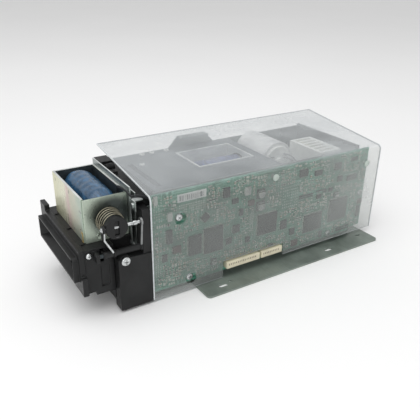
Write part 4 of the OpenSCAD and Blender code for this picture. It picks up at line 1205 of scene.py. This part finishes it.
class CARDREADER_OT_small_parts(bpy.types.Operator):
    """Make the capacitors, resistors, round parts, pin rows and open pads of the board"""
    bl_idname = "card_reader.small_parts"
    bl_label = "Small board parts"

    def execute(self, context):
        areas = kept_clear()
        self.pins(areas)
        self.scatter(areas)
        self.blocks()
        self.round_parts()
        return {"FINISHED"}

    def scatter(self, areas):
        """Chip resistors and capacitors in short rows, with their soldered ends."""
        chance = random.Random(PART_SEED)
        low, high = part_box("main_board")
        bm = bmesh.new()
        placed, tries = 0, 0
        wanted = sizes().small_parts
        while placed < wanted and tries < MOST_TRIES:
            tries += 1
            along = chance.uniform(low.y / MM + 2.5, high.y / MM - 2.5)
            up = chance.uniform(low.z / MM + 2.5, high.z / MM - 2.5)
            upright = chance.random() < 0.5
            long, wide = chance.choice(((1.1, 0.6), (1.7, 0.9), (1.7, 0.9), (2.1, 1.3)))
            count = chance.choice((1, 1, 2, 3, 4))
            finish = chance.choice((0, 0, 1, 3))
            for i in range(count):
                a = along + (i * wide * 1.9 if upright else 0)
                b = up + (0 if upright else i * wide * 1.9)
                half_a, half_b = (wide / 2, long / 2) if upright else (long / 2, wide / 2)
                if not is_clear(areas, a, b, half_a + 0.3, half_b + 0.3):
                    continue
                if not (low.z / MM + 1.5 < b < high.z / MM - 1.5 and a < high.y / MM - 2):
                    continue
                areas.append((a - half_a, a + half_a, b - half_b, b + half_b))
                self.chip_part(bm, a, b, long, wide, upright, finish)
                placed += 1
        make_piece("board_small_parts", bm, ["ceramic", "resistor", "pad", "pad"])

    def chip_part(self, bm, along, up, long, wide, upright, finish):
        """One part: two tinned ends and a body between them."""
        high = wide * 0.55
        end = long * 0.27
        half = long / 2
        for start, stop, material in ((-half, -half + end, 2), (-half + end, half - end, finish),
                                      (half - end, half, 2)):
            lift = high if material == 2 else high * 0.94
            if upright:
                add_block(bm, on_board(along - wide / 2, up + start, 0.01),
                          on_board(along + wide / 2, up + stop, lift), material)
            else:
                add_block(bm, on_board(along + start, up - wide / 2, 0.01),
                          on_board(along + stop, up + wide / 2, lift), material)

    def pins(self, areas):
        """Rows of pads and pins, then loose test pads."""
        chance = random.Random(PAD_SEED)
        looks = ["pad", "resistor", "chip"]
        bm = bmesh.new()
        for along, up, count, pitch, rows, row_pitch, finish in PIN_ROWS:
            for row in range(rows):
                for i in range(count):
                    if finish == "pad" and chance.random() < 0.12:
                        continue
                    a, b = along + i * pitch, up + row * row_pitch
                    if not is_clear(areas, a, b, 0.2, 0.2):
                        continue
                    wide = 0.62 if finish == "pad" else pitch * 0.62
                    thick = 0.08 if finish == "pad" else 1.1
                    add_block(bm, on_board(a - wide / 2, b - 0.42, 0.0),
                              on_board(a + wide / 2, b + 0.42, thick), looks.index(finish))
        for along, up, count, pitch, rows, row_pitch, _ in PIN_ROWS:
            areas.append((along - 0.8, along + (count - 1) * pitch + 0.8, up - 0.8,
                          up + (rows - 1) * row_pitch + 0.8))
        low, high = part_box("main_board")
        for _ in range(TEST_PADS):
            a = chance.uniform(low.y / MM + 2, high.y / MM - 2)
            b = chance.uniform(low.z / MM + 2, high.z / MM - 2)
            if is_clear(areas, a, b, 0.3, 0.3):
                add_rod(bm, on_board(a, b, 0.0), on_board(a, b, 0.06), chance.choice((0.32, 0.42, 0.6)) * MM,
                        8)
        make_piece("board_pads_and_pins", bm, looks)

    def blocks(self):
        """Moulded parts with tinned end caps."""
        kinds = ["brown part", "silver can", "chip", "resistor", "pad"]
        bm = bmesh.new()
        for front, foot, long, tall, thick, finish in BLOCK_PARTS:
            part = bmesh.new()
            add_block(part, on_board(front + 0.3, foot + 0.1, 0.1),
                      on_board(front + long - 0.3, foot + tall - 0.1, thick))
            round_edges(part, 0.3 * MM, 2, 0.5 * MM)
            stamp(bm, part, Matrix.Identity(4), kinds.index(finish))
            part.free()
            for a in (front, front + long - 0.5):
                add_block(bm, on_board(a, foot + tall * 0.25, 0.0),
                          on_board(a + 0.5, foot + tall * 0.75, thick * 0.5), 4)
        make_piece("board_moulded_parts", bm, kinds)

    def round_parts(self):
        """Round capacitors: a can on a square foot with a dark half-moon."""
        bm = bmesh.new()
        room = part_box("clear_cover")[1].x - board_face() - 1.0 * MM
        for along, up, radius in ROUND_CAPS:
            foot = on_board(along, up)
            add_block(bm, foot + mm(0, -radius, -radius), foot + mm(0.5, radius, radius), 0)
            tall = min(room, 2.2 * MM)
            can = (radius - 0.3) * MM
            add_turned(bm, ((0.4 * MM, 0), (0.4 * MM, can), (tall - 0.3 * MM, can),
                            (tall, (radius - 0.6) * MM), (tall, 0)), foot, X, 24, 1)
            add_block(bm, foot + Vector((tall - 0.01 * MM, (-radius + 0.9) * MM, (radius - 1.8) * MM)),
                      foot + Vector((tall + 0.05 * MM, (radius - 0.9) * MM, (radius - 1.0) * MM)), 0)
        make_piece("round_capacitors", bm, ["chip", "silver can"])


class CARDREADER_OT_connectors(bpy.types.Operator):
    """Make the edge connectors and the rear connector with their contacts"""
    bl_idname = "card_reader.connectors"
    bl_label = "Connectors"

    def execute(self, context):
        self.edge_connectors()
        self.rear_connector()
        return {"FINISHED"}

    def edge_connectors(self):
        bm = node_copy("edge_connectors", 0.2 * MM)
        for low, high in loose_boxes("edge_connectors"):
            pitch = 1.5 * MM
            count = int((high.y - low.y - 3 * MM) / pitch)
            for i in range(count):
                y = low.y + 1.9 * MM + i * pitch
                # contact in the slot, tail above the housing, pin mark on the outer face
                add_block(bm, Vector((low.x + 1.9 * MM, y, low.z - 0.3 * MM)),
                          Vector((low.x + 2.4 * MM, y + 0.5 * MM, low.z + 3.2 * MM)), 1)
                add_block(bm, Vector((low.x + 0.1 * MM, y, high.z - 0.1 * MM)),
                          Vector((low.x + 0.4 * MM, y + 0.5 * MM, high.z + 1.4 * MM)), 1)
                add_block(bm, Vector((high.x - 0.12 * MM, y - 0.1 * MM, high.z - 2.6 * MM)),
                          Vector((high.x + 0.03 * MM, y + 0.42 * MM, high.z - 1.2 * MM)), 2)
        finish_node("edge_connectors", bm, ["cream", "gold", "brown part"])

    def rear_connector(self):
        low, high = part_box("rear_connector")
        bm = node_copy("rear_connector", 0.35 * MM)
        for i in range(6):
            x = low.x + 3.0 * MM + i * 5.4 * MM
            for y in (low.y + 6 * MM, low.y + 12 * MM):
                add_block(bm, Vector((x - 0.35 * MM, y, low.z + 7 * MM)),
                          Vector((x + 1.6 * MM, y + 0.7 * MM, high.z - 2.2 * MM)), 1)
        finish_node("rear_connector", bm, ["nylon", "gold"])


# ---------------------------------------------------------------- cover and leads

class CARDREADER_OT_cover(bpy.types.Operator):
    """Make the clear cover with its cut edges and end strips painted bright as edge glow, and its white
    rivets
    """
    bl_idname = "card_reader.cover"
    bl_label = "Clear cover"

    def execute(self, context):
        low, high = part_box("clear_cover")
        bm = node_copy("clear_cover")
        lip = sizes().edge_glow_width
        # strips along the front and rear ends are split off to carry the painted edge glow
        for y in (low.y + lip, high.y - lip):
            bmesh.ops.bisect_plane(bm, geom=bm.verts[:] + bm.edges[:] + bm.faces[:], dist=MERGE,
                                   plane_co=(0, y, 0), plane_no=(0, 1, 0))
        for face in bm.faces:
            normal, middle = face.normal, face.calc_center_median()
            ends = not low.y + lip < middle.y < high.y - lip
            lower = normal.z < -0.7 and middle.x > high.x - 2 * MM
            far = normal.x < -0.7 and middle.x < low.x + 2 * MM
            top = abs(normal.z) > 0.7
            face.material_index = 1 if ends or lower or far else 2 if top else 0
        finish_node("clear_cover", bm, ["cover", "cover edge glow", "cover top"])
        self.rivets()
        return {"FINISHED"}

    def rivets(self):
        bm = bmesh.new()
        for low, high in loose_boxes("cover_rivets"):
            middle = (low + high) / 2
            radius = (high.z - low.z) * 0.42
            head = on_axis(high.x - 1.0 * MM, middle)
            add_turned(bm, ((0, 0), (0, radius), (0.35 * MM, radius), (0.75 * MM, radius * 0.82),
                            (1.0 * MM, radius * 0.5), (1.0 * MM, radius * 0.3), (0.7 * MM, radius * 0.24),
                            (0.7 * MM, 0)), head, X, 32)
            add_rod(bm, on_axis(low.x, middle), head + mm(0.1, 0, 0), 1.45 * MM, 16,
                    tip=1.5 * MM)
        finish_node("cover_rivets", bm, ["rivet nylon"])


class CARDREADER_OT_leads(bpy.types.Operator):
    """Make the leads of the motor and of the front solenoid"""
    bl_idname = "card_reader.leads"
    bl_label = "Leads"

    def execute(self, context):
        radius = sizes().lead_radius
        board_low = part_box("main_board")[0]
        motor_y = extent("drive_motor")[2].y
        bm = bmesh.new()
        for i, z in enumerate((64.6 * MM, 67.4 * MM)):
            route = [Vector((2.4 * MM, motor_y + 5 * MM, z)),
                     Vector((12 * MM, motor_y + 4.8 * MM, z + 1 * MM)),
                     Vector((24 * MM, motor_y + 1.5 * MM, z - 0.6 * MM)),
                     Vector((board_low.x - 0.3 * MM, motor_y + 1 * MM, z))]
            tube = curve_tube("lead", smooth_path(route), radius, 3)
            stamp(bm, tube, Matrix.Identity(4), 1 - i)
            tube.free()
        route = [mm(18, -109.6, 73), mm(20, -109.8, 77.4), mm(26, -109.2, 78.2), mm(31, -108.4, 77.6),
                 mm(33.2, -106.8, 75.4), mm(33.6, -101, 74.2), mm(35.6, -94, 71.5), mm(35.8, -84, 66)]
        for shift in (0.0, 1.2):
            moved = [p + mm(0, shift * 0.4, -shift) for p in route]
            tube = curve_tube("lead", smooth_path(moved), radius * 0.8, 3)
            stamp(bm, tube, Matrix.Identity(4), 0)
            tube.free()
        make_piece("leads", bm, ["lead", "brown lead"], replaces=("wiring",))
        return {"FINISHED"}


# ---------------------------------------------------------------- drive

def belt_circles():
    """Centres and radii that the belt runs round: front, motor and rear pulleys."""
    found = []
    for node in ("feed_pulley_front", "motor_pulley", "feed_pulley_rear"):
        low, high, middle = extent(node)
        found.append((middle.y, middle.z, (high.z - low.z) / 2 - FLANGE * MM))
    return found


class CARDREADER_OT_drive(bpy.types.Operator):
    """Make the toothed belt, its pulleys, the rollers, the motor and the encoder disc"""
    bl_idname = "card_reader.drive"
    bl_label = "Belt drive"

    def execute(self, context):
        self.belt()
        for place in FEED_PLACES:
            self.pulley("feed_pulley_" + place, "feed_" + place, "nylon", "white_nylon", 16, 2 * MM)
            self.rollers(place)
            self.pinch(place)
        self.pulley("motor_pulley", "motor_rotor", "brass", "brass", 11, 1.5 * MM)
        self.motor()
        soften("encoder_disc", "moulding", 0.08 * MM, "feed_rear")
        soften("shaft_bushes", "brass", 0.15 * MM)
        soften("optical_sensors", "gloss moulding", 0.25 * MM)
        return {"FINISHED"}

    def belt(self):
        """The belt loop: a band round three pulleys with square teeth on its inner side."""
        low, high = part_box("timing_belt")
        path = outer_loop(belt_circles(), 0.2 * MM)
        pitch = sizes().belt_pitch
        bm = bmesh.new()
        total = sum((b - a).length for a, b in zip(path, path[1:] + path[:1]))
        count = int(total / pitch)
        thick, width = 0.9 * MM, high.x - low.x
        middle = (low.x + high.x) / 2
        ring = []
        for i, point in enumerate(path):
            ahead, behind = path[(i + 1) % len(path)], path[i - 1]
            run = (ahead - behind).normalized()
            out = Vector((-run.y, run.x)) * thick
            ring.append((point, out))
        rows = []
        for point, out in ring:
            corners = []
            for x, lift in ((low.x, 0.25), (high.x, 0.25), (high.x, 1.25), (low.x, 1.25)):
                spot = point + out * lift
                corners.append(bm.verts.new((x, spot.x, spot.y)))
            rows.append([bm.edges.new((corners[k], corners[(k + 1) % 4])) for k in range(4)])
        for here, there in zip(rows, rows[1:] + rows[:1]):
            bmesh.ops.bridge_loops(bm, edges=here + there)
        for k in range(count):
            spot, run = along_loop(path, total * k / count)
            out = Vector((-run.y, run.x))
            centre = Vector((middle, spot.x + out.x * 0.18 * MM, spot.y + out.y * 0.18 * MM))
            turn = Matrix.Rotation(math.atan2(run.y, run.x), 4, "X")
            size = Vector((width * 0.98, pitch * 0.45, 0.55 * MM))
            add_block(bm, centre - size / 2, centre + size / 2, 0, turn)
        bmesh.ops.recalc_face_normals(bm, faces=bm.faces)
        finish_node("timing_belt", bm, ["belt"])

    def pulley(self, node, body, finish, finish_slot, teeth, bore):
        """A toothed pulley between two flanges."""
        low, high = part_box(node)
        belt_low, belt_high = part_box("timing_belt")
        centre = (low + high) / 2
        flange = (high.z - low.z) / 2
        root = flange - FLANGE * MM
        inner, outer = belt_low.x - 0.3 * MM, belt_high.x + 0.3 * MM
        bm = bmesh.new()
        if node == "motor_pulley":
            add_rod(bm, on_axis(low.x, centre), on_axis(high.x, centre), bore, 24, material=1)
        for x0, x1 in ((inner - 0.6 * MM, inner), (outer, outer + 0.6 * MM)):
            run = x1 - x0
            add_turned(bm, ((0, bore), (0, flange - 0.2 * MM), (run / 2, flange), (run, flange - 0.2 * MM),
                            (run, bore), (0, bore)), on_axis(x0, centre), X, 40)
        add_turned(bm, ((0, bore), (0, root - 0.7 * MM), (outer - inner, root - 0.7 * MM),
                        (outer - inner, bore), (0, bore)), on_axis(inner, centre), X, 40)
        for k in range(teeth):
            a = 2 * math.pi * k / teeth
            spoke = Vector((0, math.cos(a), math.sin(a)))
            spot = on_axis((inner + outer) / 2, centre) + spoke * (root - 0.55 * MM)
            size = Vector((outer - inner, math.pi * root / teeth, 1.0 * MM))
            add_block(bm, spot - size / 2, spot + size / 2, 0, Matrix.Rotation(a - math.pi / 2, 4, "X"))
        finish_node(node, bm, [finish, "bright steel"], body)

    def rollers(self, place):
        """Two rubber rollers with fine grooves round them, on nylon hubs."""
        node = "feed_rollers_" + place
        bm = bmesh.new()
        for low, high in loose_boxes(node):
            middle = (low + high) / 2
            radius, width = (high.z - low.z) / 2, high.x - low.x
            grooves = 9
            profile = [(0, 4.2 * MM), (0, radius - 0.3 * MM), (0.3 * MM, radius)]
            for i in range(grooves):
                at = width * (i + 0.5) / grooves
                profile += [(at - 0.2 * MM, radius), (at - 0.1 * MM, radius - 0.22 * MM),
                            (at + 0.1 * MM, radius - 0.22 * MM), (at + 0.2 * MM, radius)]
            profile += [(width - 0.3 * MM, radius), (width, radius - 0.3 * MM),
                        (width, 4.2 * MM), (0, 4.2 * MM)]
            start = on_axis(low.x, middle)
            add_turned(bm, profile, start, X, 40)
            add_turned(bm, ((-0.4 * MM, 2 * MM), (-0.4 * MM, 4.0 * MM), (0, 4.25 * MM), (width, 4.25 * MM),
                            (width + 0.4 * MM, 4.0 * MM), (width + 0.4 * MM, 2 * MM), (-0.4 * MM, 2 * MM)),
                       start, X, 32, 1)
        finish_node(node, bm, ["rubber", "nylon"], "feed_" + place)

    def pinch(self, place):
        """Two idle rollers on one shaft, with rounded rims and recessed faces."""
        node = "pinch_roller_" + place
        low, high, middle = extent(node)
        radius = (high.z - low.z) / 2
        bm = bmesh.new()
        reach = high.x - low.x
        add_turned(bm, ((0, 0), (0, 1.3 * MM), (0.25 * MM, 1.5 * MM), (reach - 0.25 * MM, 1.5 * MM),
                        (reach, 1.3 * MM), (reach, 0)), on_axis(low.x, middle), X, 20, 1)
        for x in (-18 * MM, 18 * MM):
            add_turned(bm, ((0.4 * MM, 1.5 * MM), (0.4 * MM, 3.8 * MM), (0, 4.0 * MM), (0, radius - 0.3 * MM),
                            (0.3 * MM, radius), (7.7 * MM, radius), (8.0 * MM, radius - 0.3 * MM),
                            (8.0 * MM, 4.0 * MM), (7.6 * MM, 3.8 * MM), (7.6 * MM, 1.5 * MM),
                            (0.4 * MM, 1.5 * MM)),
                       on_axis(x - 4 * MM, middle), X, 32)
        finish_node(node, bm, ["nylon", "bright steel"], "pinch_" + place)

    def motor(self):
        """The motor: drawn can with a rolled rim, end cap, terminals and fixing screws."""
        low, high, middle = extent("drive_motor")
        plate_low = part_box("far_side_plate")[0]
        start = plate_low.x + 1.2 * MM
        radius = (high.z - low.z) / 2
        end = 0.0
        run = end - start
        bm = bmesh.new()
        add_turned(bm, ((0, 0), (0, radius - 0.8 * MM), (0.8 * MM, radius), (run - 3.2 * MM, radius),
                        (run - 2.8 * MM, radius - 0.35 * MM), (run - 2.4 * MM, radius),
                        (run - 0.6 * MM, radius), (run, radius - 0.6 * MM), (run, 12.2 * MM), (run, 0)),
                   on_axis(start, middle), X, 56)
        add_turned(bm, ((0, 0), (0, 12 * MM), (1.5 * MM, 12 * MM), (2 * MM, 11.5 * MM), (2 * MM, 3.2 * MM),
                        (3.5 * MM, 3 * MM), (4 * MM, 2.6 * MM), (4 * MM, 0)),
                   on_axis(end, middle), X, 48, 1)
        for a in (35, 145):
            spoke = Vector((0, math.cos(math.radians(a)), math.sin(math.radians(a)))) * 8.2 * MM
            spot = on_axis(end + 1.9 * MM, middle) + spoke
            add_block(bm, spot - mm(0.1, 1.0, 0.25), spot + mm(2.4, 1.0, 0.25), 2)
        for a in range(45, 360, 90):
            spoke = Vector((0, math.cos(math.radians(a)), math.sin(math.radians(a)))) * 9 * MM
            foot = on_axis(plate_low.x + 1.1 * MM, middle) + spoke
            add_turned(bm, ((0, 0), (0, 1.35 * MM), (1.7 * MM, 1.35 * MM), (1.9 * MM, 1.1 * MM),
                            (1.9 * MM, 0)), foot, -X, 20, 2)
        finish_node("drive_motor", bm, ["motor", "nylon", "dull steel"])


def outer_loop(circles, grow, steps=14):
    """The closed path of a belt round circles given in order, clockwise seen from +X."""
    path = []
    total = len(circles)
    tangents = []
    for i in range(total):
        (ya, za, ra), (yb, zb, rb) = circles[i], circles[(i + 1) % total]
        gap = Vector((yb - ya, zb - za))
        lean = math.asin((rb - ra) / gap.length)
        run = gap.normalized()
        out = Vector((-run.y, run.x))
        side = out * math.cos(lean) - run * math.sin(lean)
        tangents.append(math.atan2(side.y, side.x))
    for i in range(total):
        y, z, r = circles[i]
        start, end = tangents[i - 1], tangents[i]
        while end > start:
            end -= 2 * math.pi
        for k in range(steps + 1):
            a = start + (end - start) * k / steps
            path.append(Vector((y + (r + grow) * math.cos(a), z + (r + grow) * math.sin(a))))
    return path


def along_loop(path, distance):
    """The point and direction at a distance along a closed path."""
    for a, b in zip(path, path[1:] + path[:1]):
        reach = (b - a).length
        if distance <= reach and reach > 0:
            return a + (b - a) * (distance / reach), (b - a).normalized()
        distance -= reach
    return path[0], (path[1] - path[0]).normalized()


class CARDREADER_OT_contact_unit(bpy.types.Operator):
    """Make the contact unit: its solenoid, lever, block, spring contacts and the magnetic head"""
    bl_idname = "card_reader.contact_unit"
    bl_label = "Contact unit and head"

    def execute(self, context):
        soften("contact_solenoid_frame", "window rim", 0.3 * MM)
        self.coil()
        soften("contact_lever", "bright steel", 0.12 * MM, "contact_lever")
        soften("contact_block", "moulding", 0.3 * MM, "contact_unit")
        soften("contact_springs", "gold", 0.06 * MM, "contact_unit")
        self.head()
        for node in PLAIN_STEEL_NODES:
            keep_node(node, "dark plate" if node == "lever_pivot_pin" else "bright steel")
        return {"FINISHED"}

    def coil(self):
        low, high, middle = extent("contact_coil")
        radius = (high.z - low.z) / 2
        span = high.y - low.y
        bm = bmesh.new()
        start = Vector((middle.x, low.y, middle.z))
        for at in (0.0, span - 1.5 * MM):
            add_turned(bm, ring(at, 1.5 * MM, 4.35 * MM, radius, 0.2 * MM), start, Y, 40, 1)
        profile = [(1.5 * MM, 4.35 * MM)]
        for i in range(31):
            along = i / 30
            profile.append((1.5 * MM + (span - 3 * MM) * along,
                            radius - 0.75 * MM + 0.3 * MM * math.sin(math.pi * along) ** 0.4
                            + 0.08 * MM * math.sin(along * 30)))
        profile += [(span - 1.5 * MM, 4.35 * MM), (1.5 * MM, 4.35 * MM)]
        add_turned(bm, profile, start, Y, 48)
        finish_node("contact_coil", bm, ["inner winding", "gloss moulding"])

    def head(self):
        """The magnetic head: polished case with two tracks of pole gaps in its crown."""
        low, high, middle = extent("magnetic_head")
        bm = node_copy("magnetic_head", 0.12 * MM)
        for x in (low.x + 4 * MM, low.x + 9.5 * MM):
            add_block(bm, Vector((x, middle.y - 1.6 * MM, high.z - 0.25 * MM)),
                      Vector((x + 1.4 * MM, middle.y + 1.6 * MM, high.z - 0.02 * MM)), 1)
        finish_node("magnetic_head", bm, ["head", "dull steel"], "magnetic_head")


# ---------------------------------------------------------------- studio

class CARDREADER_OT_stage(bpy.types.Operator):
    """Set up the pale floor, the soft lights and the camera"""
    bl_idname = "card_reader.stage"
    bl_label = "Studio"

    def execute(self, context):
        self.camera(context)
        self.floor(context)
        self.lights(context)
        return {"FINISHED"}

    def camera(self, context):
        s = studio()
        data = bpy.data.cameras.new("camera")
        data.lens = s.lens
        data.sensor_width = 36.0
        data.clip_start = 0.01
        camera = bpy.data.objects.new("camera", data)
        camera.location = s.camera_place
        camera.rotation_euler = Euler(s.camera_turn)
        context.scene.collection.objects.link(camera)
        context.scene.camera = camera

    def floor(self, context):
        bm = bmesh.new()
        bmesh.ops.create_grid(bm, x_segments=2, y_segments=2, size=4.0)
        mesh = bpy.data.meshes.new("floor")
        bm.to_mesh(mesh)
        bm.free()
        mesh.materials.append(studio_floor("pale floor", colours().floor))
        floor = bpy.data.objects.new("floor", mesh)
        context.scene.collection.objects.link(floor)

    def lights(self, context):
        s = studio()
        world = bpy.data.worlds.new("studio")
        world.use_nodes = True
        sky = world.node_tree.nodes["Background"]
        sky.inputs["Color"].default_value = (1.0, 1.0, 1.0, 1)
        sky.inputs["Strength"].default_value = s.sky
        context.scene.world = world
        context.scene.view_settings.view_transform = "Standard"
        for name, place, power, size in (
                ("key light", (0.15, -0.30, 1.25), s.key_power, 1.3),
                ("fill light", (0.75, -0.75, 0.45), s.fill_power, 0.7)):
            data = bpy.data.lights.new(name, "AREA")
            data.energy = power
            data.size = size
            lamp = bpy.data.objects.new(name, data)
            lamp.location = place
            aim_at = Vector((0, -0.02, 0.03)) - Vector(place)
            lamp.rotation_euler = aim_at.to_track_quat("-Z", "Y").to_euler()
            context.scene.collection.objects.link(lamp)


# ---------------------------------------------------------------- add-on

class CARDREADER_PT_pieces(bpy.types.Panel):
    """Buttons for the card reader's pieces"""
    bl_idname = "CARDREADER_PT_pieces"
    bl_label = "Card reader"
    bl_space_type = "VIEW_3D"
    bl_region_type = "UI"
    bl_category = "Card reader"

    def draw(self, context):
        for operator in OPERATORS:
            self.layout.operator(operator.bl_idname, text=operator.bl_label)
        for group in (sizes(), colours(), studio()):
            column = self.layout.column()
            for name in group.__annotations__:
                column.prop(group, name)


GROUPS = (
    ("card_reader_sizes", CARDREADER_PG_sizes),
    ("card_reader_colours", CARDREADER_PG_colours),
    ("card_reader_studio", CARDREADER_PG_studio),
)
OPERATORS = (
    CARDREADER_OT_stage, CARDREADER_OT_mouldings, CARDREADER_OT_sheets, CARDREADER_OT_solenoid,
    CARDREADER_OT_plunger, CARDREADER_OT_linkage, CARDREADER_OT_screws, CARDREADER_OT_board,
    CARDREADER_OT_chips, CARDREADER_OT_small_parts, CARDREADER_OT_connectors, CARDREADER_OT_cover,
    CARDREADER_OT_leads, CARDREADER_OT_drive, CARDREADER_OT_contact_unit,
)


def register():
    for name, group in GROUPS:
        bpy.utils.register_class(group)
        setattr(bpy.types.Scene, name, bpy.props.PointerProperty(type=group))
    for kind in OPERATORS + (CARDREADER_PT_pieces,):
        bpy.utils.register_class(kind)


def unregister():
    for kind in reversed(OPERATORS + (CARDREADER_PT_pieces,)):
        bpy.utils.unregister_class(kind)
    for name, group in reversed(GROUPS):
        delattr(bpy.types.Scene, name)
        bpy.utils.unregister_class(group)


def main():
    register()
    for operator in OPERATORS:
        family, name = operator.bl_idname.split(".")
        getattr(getattr(bpy.ops, family), name)()


if __name__ == "__main__":
    main()
